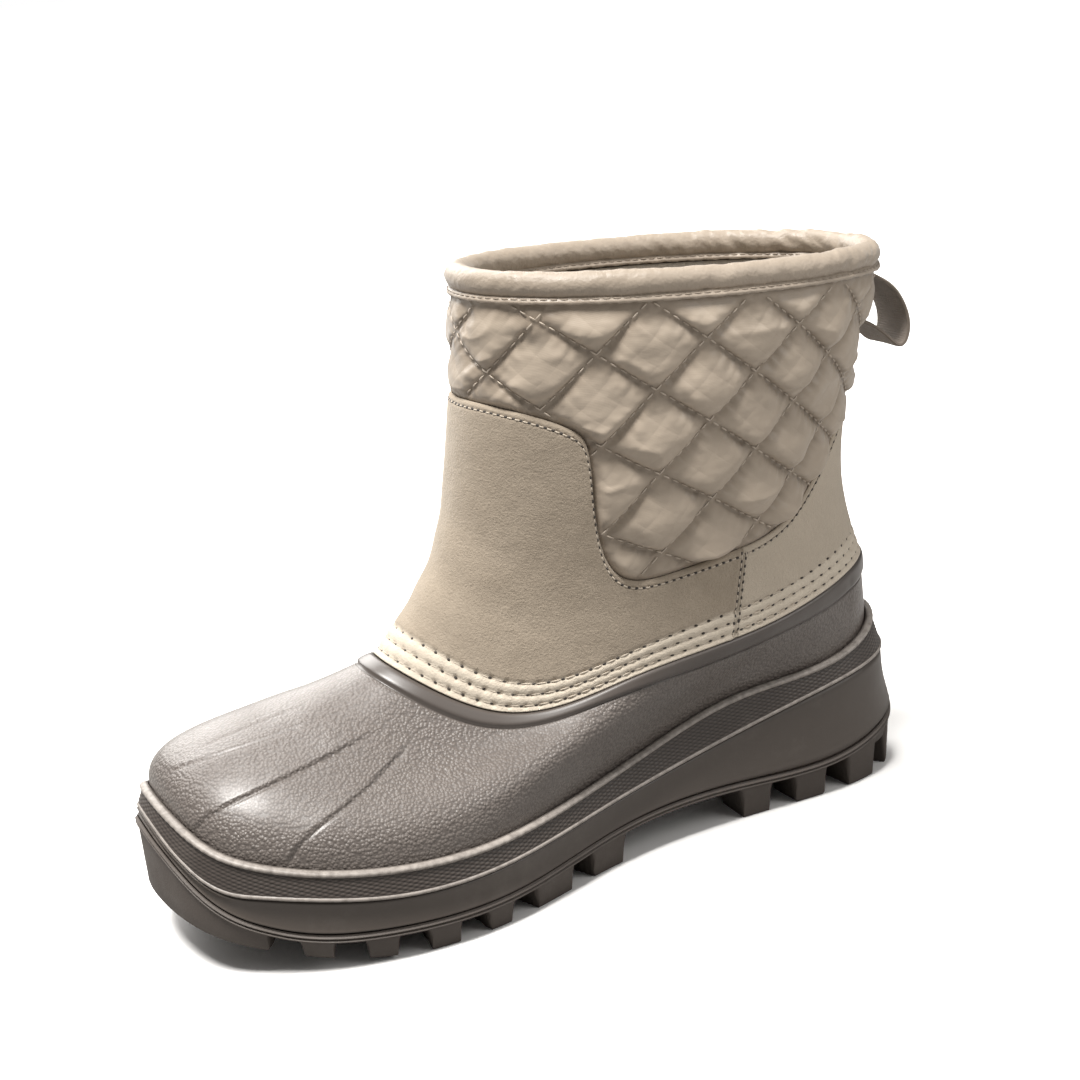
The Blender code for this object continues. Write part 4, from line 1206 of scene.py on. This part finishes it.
def quilted_nylon():
    """Satin nylon, painted shade in seams and inside. Its UV counts quilt steps, and puckers follow the seams
    on it.
    """
    plain = {"Sheen_Weight": 0.2, "Sheen_Roughness": 0.35, "IOR": 1.48, "Anisotropic": 0.25}
    finish = Finish("quilted_nylon", ((0.43, 0.360, 0.286), 0.05, 0.12), **plain)
    uv = finish.lie()
    u, v, _ = finish.add("SeparateXYZ", {0: uv}).outputs
    total, rest = finish.plus(u, v), finish.math("SUBTRACT", u, v)
    puckers = []
    for line, run in ((total, rest), (rest, total)):
        gap = finish.math("PINGPONG", line, 0.5)
        seat = {0: finish.times(run, 3.6), 1: finish.times(gap, 3.0), 2: finish.math("ROUND", line)}
        crumple = finish.noise(1.0, 1.0, 0.45, place=finish.add("CombineXYZ", seat).outputs[0])
        beat = finish.times(finish.wave(run, TAU * QUILT_SIDE / 2 / STITCH), 0.05)
        puckers.append(finish.times(finish.plus(crumple, beat), finish.ramp(gap, 0.02, 0.34, 1.0, 0.0)))
    # painted shade: darker where the crown mark is low, in the seams, and fully on the inside
    finish.tint(finish.ramp(finish.mark("crown"), 0.0, 0.45, 0.55, 0.0), (0.205, 0.160, 0.120))
    finish.spread("Roughness", 120.0, 0.34, 0.46)
    cloth = finish.add("Mapping", {"Vector": uv, "Scale": (*QUILT_SIZE, 1.0)}).outputs[0]
    weave = finish.group("weave", UV=cloth, Pitch=0.38)[0]
    crinkle = finish.noise(95.0, 2.0, 0.5, (1.0, 1.0, 1.5))
    return finish.done((finish.plus(*puckers), 0.0019), (crinkle, 0.0007), (weave, 0.00003))


def binding_nylon(name, colour):
    """Plain woven nylon with a satin gloss and small creases."""
    finish = Finish(name, (colour, 0.03, 0.12), Sheen_Weight=0.2, Sheen_Roughness=0.35, IOR=1.48)
    weave = finish.group("weave", UV=finish.lie(), Pitch=0.4)[0]
    finish.spread("Roughness", 140.0, 0.36, 0.50)
    return finish.done((finish.noise(260.0, 3.0, 0.6), 0.0006), (weave, 0.00003))


def ribbed_webbing():
    """Webbing: yarns as waves across the strip, with painted shade between them."""
    tone = (0.215, 0.178, 0.146), 0.012, 0.22
    finish = Finish("ribbed_webbing", tone, Roughness=0.72, Sheen_Weight=0.2, Specular_IOR_Level=0.3)
    across = finish.add("SeparateXYZ", {0: finish.lie()}).outputs[1]
    yarn = finish.math("ABSOLUTE", finish.wave(across, np.pi / 0.62))
    # painted shade: darker in the grooves between the yarns
    finish.tint(finish.ramp(yarn, 0.0, 0.6, 0.4, 0.0), (0.10, 0.08, 0.065))
    return finish.done((yarn, 0.00012), (finish.noise(2200.0, 3.0), 0.00012))


def lining_felt():
    """Felt: tufts under a nap, with painted shade between its fibres."""
    plain = {"Roughness": 1.0, "Sheen_Weight": 0.4, "Sheen_Roughness": 0.5, "Specular_IOR_Level": 0.1}
    finish = Finish("lining_felt", ((0.50, 0.450, 0.385), 0.02, 0.20), **plain)
    nap = finish.group("fibre", Vector=finish.place, Size=0.0016)[0]
    # painted shade: the colour is darker where the nap is low, between the fibres
    finish.tint(finish.ramp(nap, 0.40, 0.60, 0.35, 0.0), (0.36, 0.315, 0.265))
    return finish.done((finish.noise(240.0, 4.0, 0.7), 0.0011), (nap, 0.0007))


def sewing_thread(name, colour):
    """Thread with a fine roughness."""
    finish = Finish(name, (colour, 0.006, 0.2), Roughness=0.6, Sheen_Weight=0.2)
    return finish.done((finish.noise(3500.0), 0.00008))


# Stage
def make_floor():
    """A pale sheet under the boot, wide enough to fill the view."""
    reach, count = 400.0, 21
    side = np.linspace(-reach, reach, count)
    points = joined(*np.meshgrid(side, side), 0.0).reshape(-1, 3)
    faces = grid_faces(count, count, False, False)[:, ::-1]
    mesh = bpy.data.meshes.new("studio_floor")
    mesh.from_pydata(points.tolist(), [], faces.tolist())
    finish = Finish("studio_white", ((0.95, 0.945, 0.94), 0.8, 0.02), Roughness=0.9)
    seen = finish.add("LightPath").outputs["Is Camera Ray"]
    finish.colour = finish.mix(seen, (0.24, 0.235, 0.23, 1.0), finish.colour)
    mesh.materials.append(finish.done())
    put("studio_floor", mesh)


def make_light(name, kind, aim_from, energy, **settings):
    """A warm white light aimed at the middle of the boot."""
    lamp = bpy.data.lights.new(name, kind)
    lamp.energy = energy
    lamp.color = (1.0, 0.98, 0.95)
    for key, value in settings.items():
        setattr(lamp, key, value)
    holder = put(name, lamp)
    holder.location = aim_from
    holder.rotation_euler = (Vector((0, 0, 0.08)) - Vector(aim_from)).to_track_quat("-Z", "Y").to_euler()


def make_studio():
    """Dim warm air that looks white to the camera, a broad sun above, and a soft panel on either side."""
    world = bpy.data.worlds.new("studio_air")
    world.use_nodes = True
    air = Tree(world.node_tree)
    lit = air.add("Background", {"Color": (1.0, 0.985, 0.96, 1.0), "Strength": 0.19})
    seen = air.add("Background", {"Color": (1.0, 1.0, 1.0, 1.0), "Strength": 1.0})
    path = air.add("LightPath").outputs["Is Camera Ray"]
    both = air.add("MixShader", {0: path, 1: lit.outputs[0], 2: seen.outputs[0]})
    air.feed(both.outputs[0], air.tree.nodes["World Output"].inputs["Surface"])
    bpy.context.scene.world = world
    make_light("sky_panel", "SUN", (0.14, -0.30, 1.3), 6.0, angle=np.radians(20))
    make_light("heel_panel", "AREA", (0.90, 0.90, 0.90), 7.0, size=0.9)
    make_light("far_panel", "AREA", (-1.15, -0.15, 0.85), 24.0, size=1.2)


def make_camera():
    """Looks along the photograph's line of sight: turned to its azimuth, tipped, then rolled."""
    turn, tip, roll = np.radians((CAMERA_AZIMUTH, CAMERA_ELEVATION, CAMERA_ROLL))
    level = np.array([np.cos(turn), np.sin(turn), 0.0])
    upright = np.array([-np.sin(turn) * np.sin(tip), np.cos(turn) * np.sin(tip), np.cos(tip)])
    right = np.cos(roll) * level + np.sin(roll) * upright
    up = np.cos(roll) * upright - np.sin(roll) * level
    axes = np.stack([right, up, np.cross(right, up)], 1)
    lens = bpy.data.cameras.new("view")
    lens.lens, lens.sensor_width = CAMERA_LENS, 36.0
    camera = put("view", lens)
    camera.matrix_world = Matrix.Translation(placed(CAMERA_AT)) @ Matrix(axes.tolist()).to_4x4()
    bpy.context.scene.camera = camera


# The boot
def dress(piece, material, slot, *nodes):
    """Gives a piece its finish, ties it to the boot, and lets it stand for its solids."""
    piece.data.materials.append(material)
    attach(piece, "root")
    if nodes:
        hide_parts(*nodes)
    return piece


def make_boot():
    """Makes every piece, with the solid it stands for and its finish."""
    tread = smooth_rubber("tread_rubber", (0.088, 0.073, 0.063), (0.52, 0.68), stipple=0.00012)
    wall = smooth_rubber("sole_rubber", (0.084, 0.070, 0.060), (0.36, 0.46), stipple=0.00002)
    band = smooth_rubber("band_rubber", (0.074, 0.060, 0.052), (0.42, 0.54), stipple=0.00003, knurled=True)
    suede, nylon, felt = suede_leather(), quilted_nylon(), lining_felt()
    binding = binding_nylon("binding_nylon", (0.375, 0.313, 0.250))
    pale_thread = sewing_thread("pale_thread", (0.53, 0.455, 0.37))
    suede_thread = sewing_thread("suede_thread", (0.52, 0.45, 0.365))
    # painted shade: the collar's thread is darkened for the shade of the fold under the roll
    fold_shade_thread = sewing_thread("fold_shade_thread", (0.30, 0.245, 0.19))
    # painted shade: near-black discs stand in for the shade inside the needle holes
    shadow = sewing_thread("needle_hole_shade", (0.035, 0.026, 0.02))

    dress(make_outsole(), tread, "tread_rubber", "outsole")
    dress(make_midsole(), wall, "sole_rubber", "midsole")
    dress(make_band(), band, "band_rubber", "foxing_band")
    dress(make_shell(), shell_rubber(), "shell_rubber", "rubber_shell")

    places = np.linspace(0, 1, 400)
    seam = float(np.interp(np.radians(SUEDE_SEAM), suede_edge(places)[0], places))
    step = skin(*suede_edge(np.array([seam - 0.01, seam + 0.01]))[1:])
    tuck = 0.02 * SEAM_TUCK / np.linalg.norm(step[1] - step[0])
    panels = (
        # name, solid, first and last place on the edge, columns, 1 to lap over or -1 to tuck under
        ("suede_instep", "suede_front", seam, 2 - seam, 560, 1),
        ("suede_heel", "suede_counter", -seam - tuck, seam + tuck, 250, -1),
    )
    for name, node, first, last, columns, lap in panels:
        panel, grid = make_suede(name, first, last, columns, lap)
        dress(panel, suede, "suede", node)
        threads = suede_stitches(grid, lap, lift=0.05)
        holes = suede_stitches(grid, lap, lift=0.03, length=HOLE)
        dress(thread_piece(name + "_thread", *threads, radius=0.30, bow=0.16), suede_thread, "suede")
        # dark discs of painted shade laid over the needle holes
        dress(thread_piece(name + "_holes", *holes, radius=0.52, bow=0.0, flatness=0.5), shadow, "suede")

    quilt = dress(make_quilt(), nylon, "quilted_nylon", "quilted_shaft")
    threads = thread_piece("quilt_thread", *quilt_stitches(), radius=0.28, bow=0.2)
    dress(threads, pale_thread, "quilted_nylon")
    roll = dress(make_roll(), binding, "binding_nylon", "collar_binding")
    for name, outside in (("collar_strip", True), ("collar_strip_inside", False)):
        dress(make_strip(name, outside), binding, "binding_nylon")
        threads = thread_piece(name + "_thread", *collar_stitches(outside), radius=0.27, bow=0.12)
        dress(threads, fold_shade_thread, "binding_nylon")
    dress(make_lining(), felt, "felt")
    dress(make_insole(), felt, "felt", "insole")
    dress(make_loop(), ribbed_webbing(), "webbing", "pull_loop")
    dress(make_tab(), binding_nylon("tab_nylon", (0.29, 0.24, 0.19)), "webbing")


make_boot()
make_floor()
make_studio()
make_camera()
bpy.context.scene.view_settings.view_transform = "Standard"
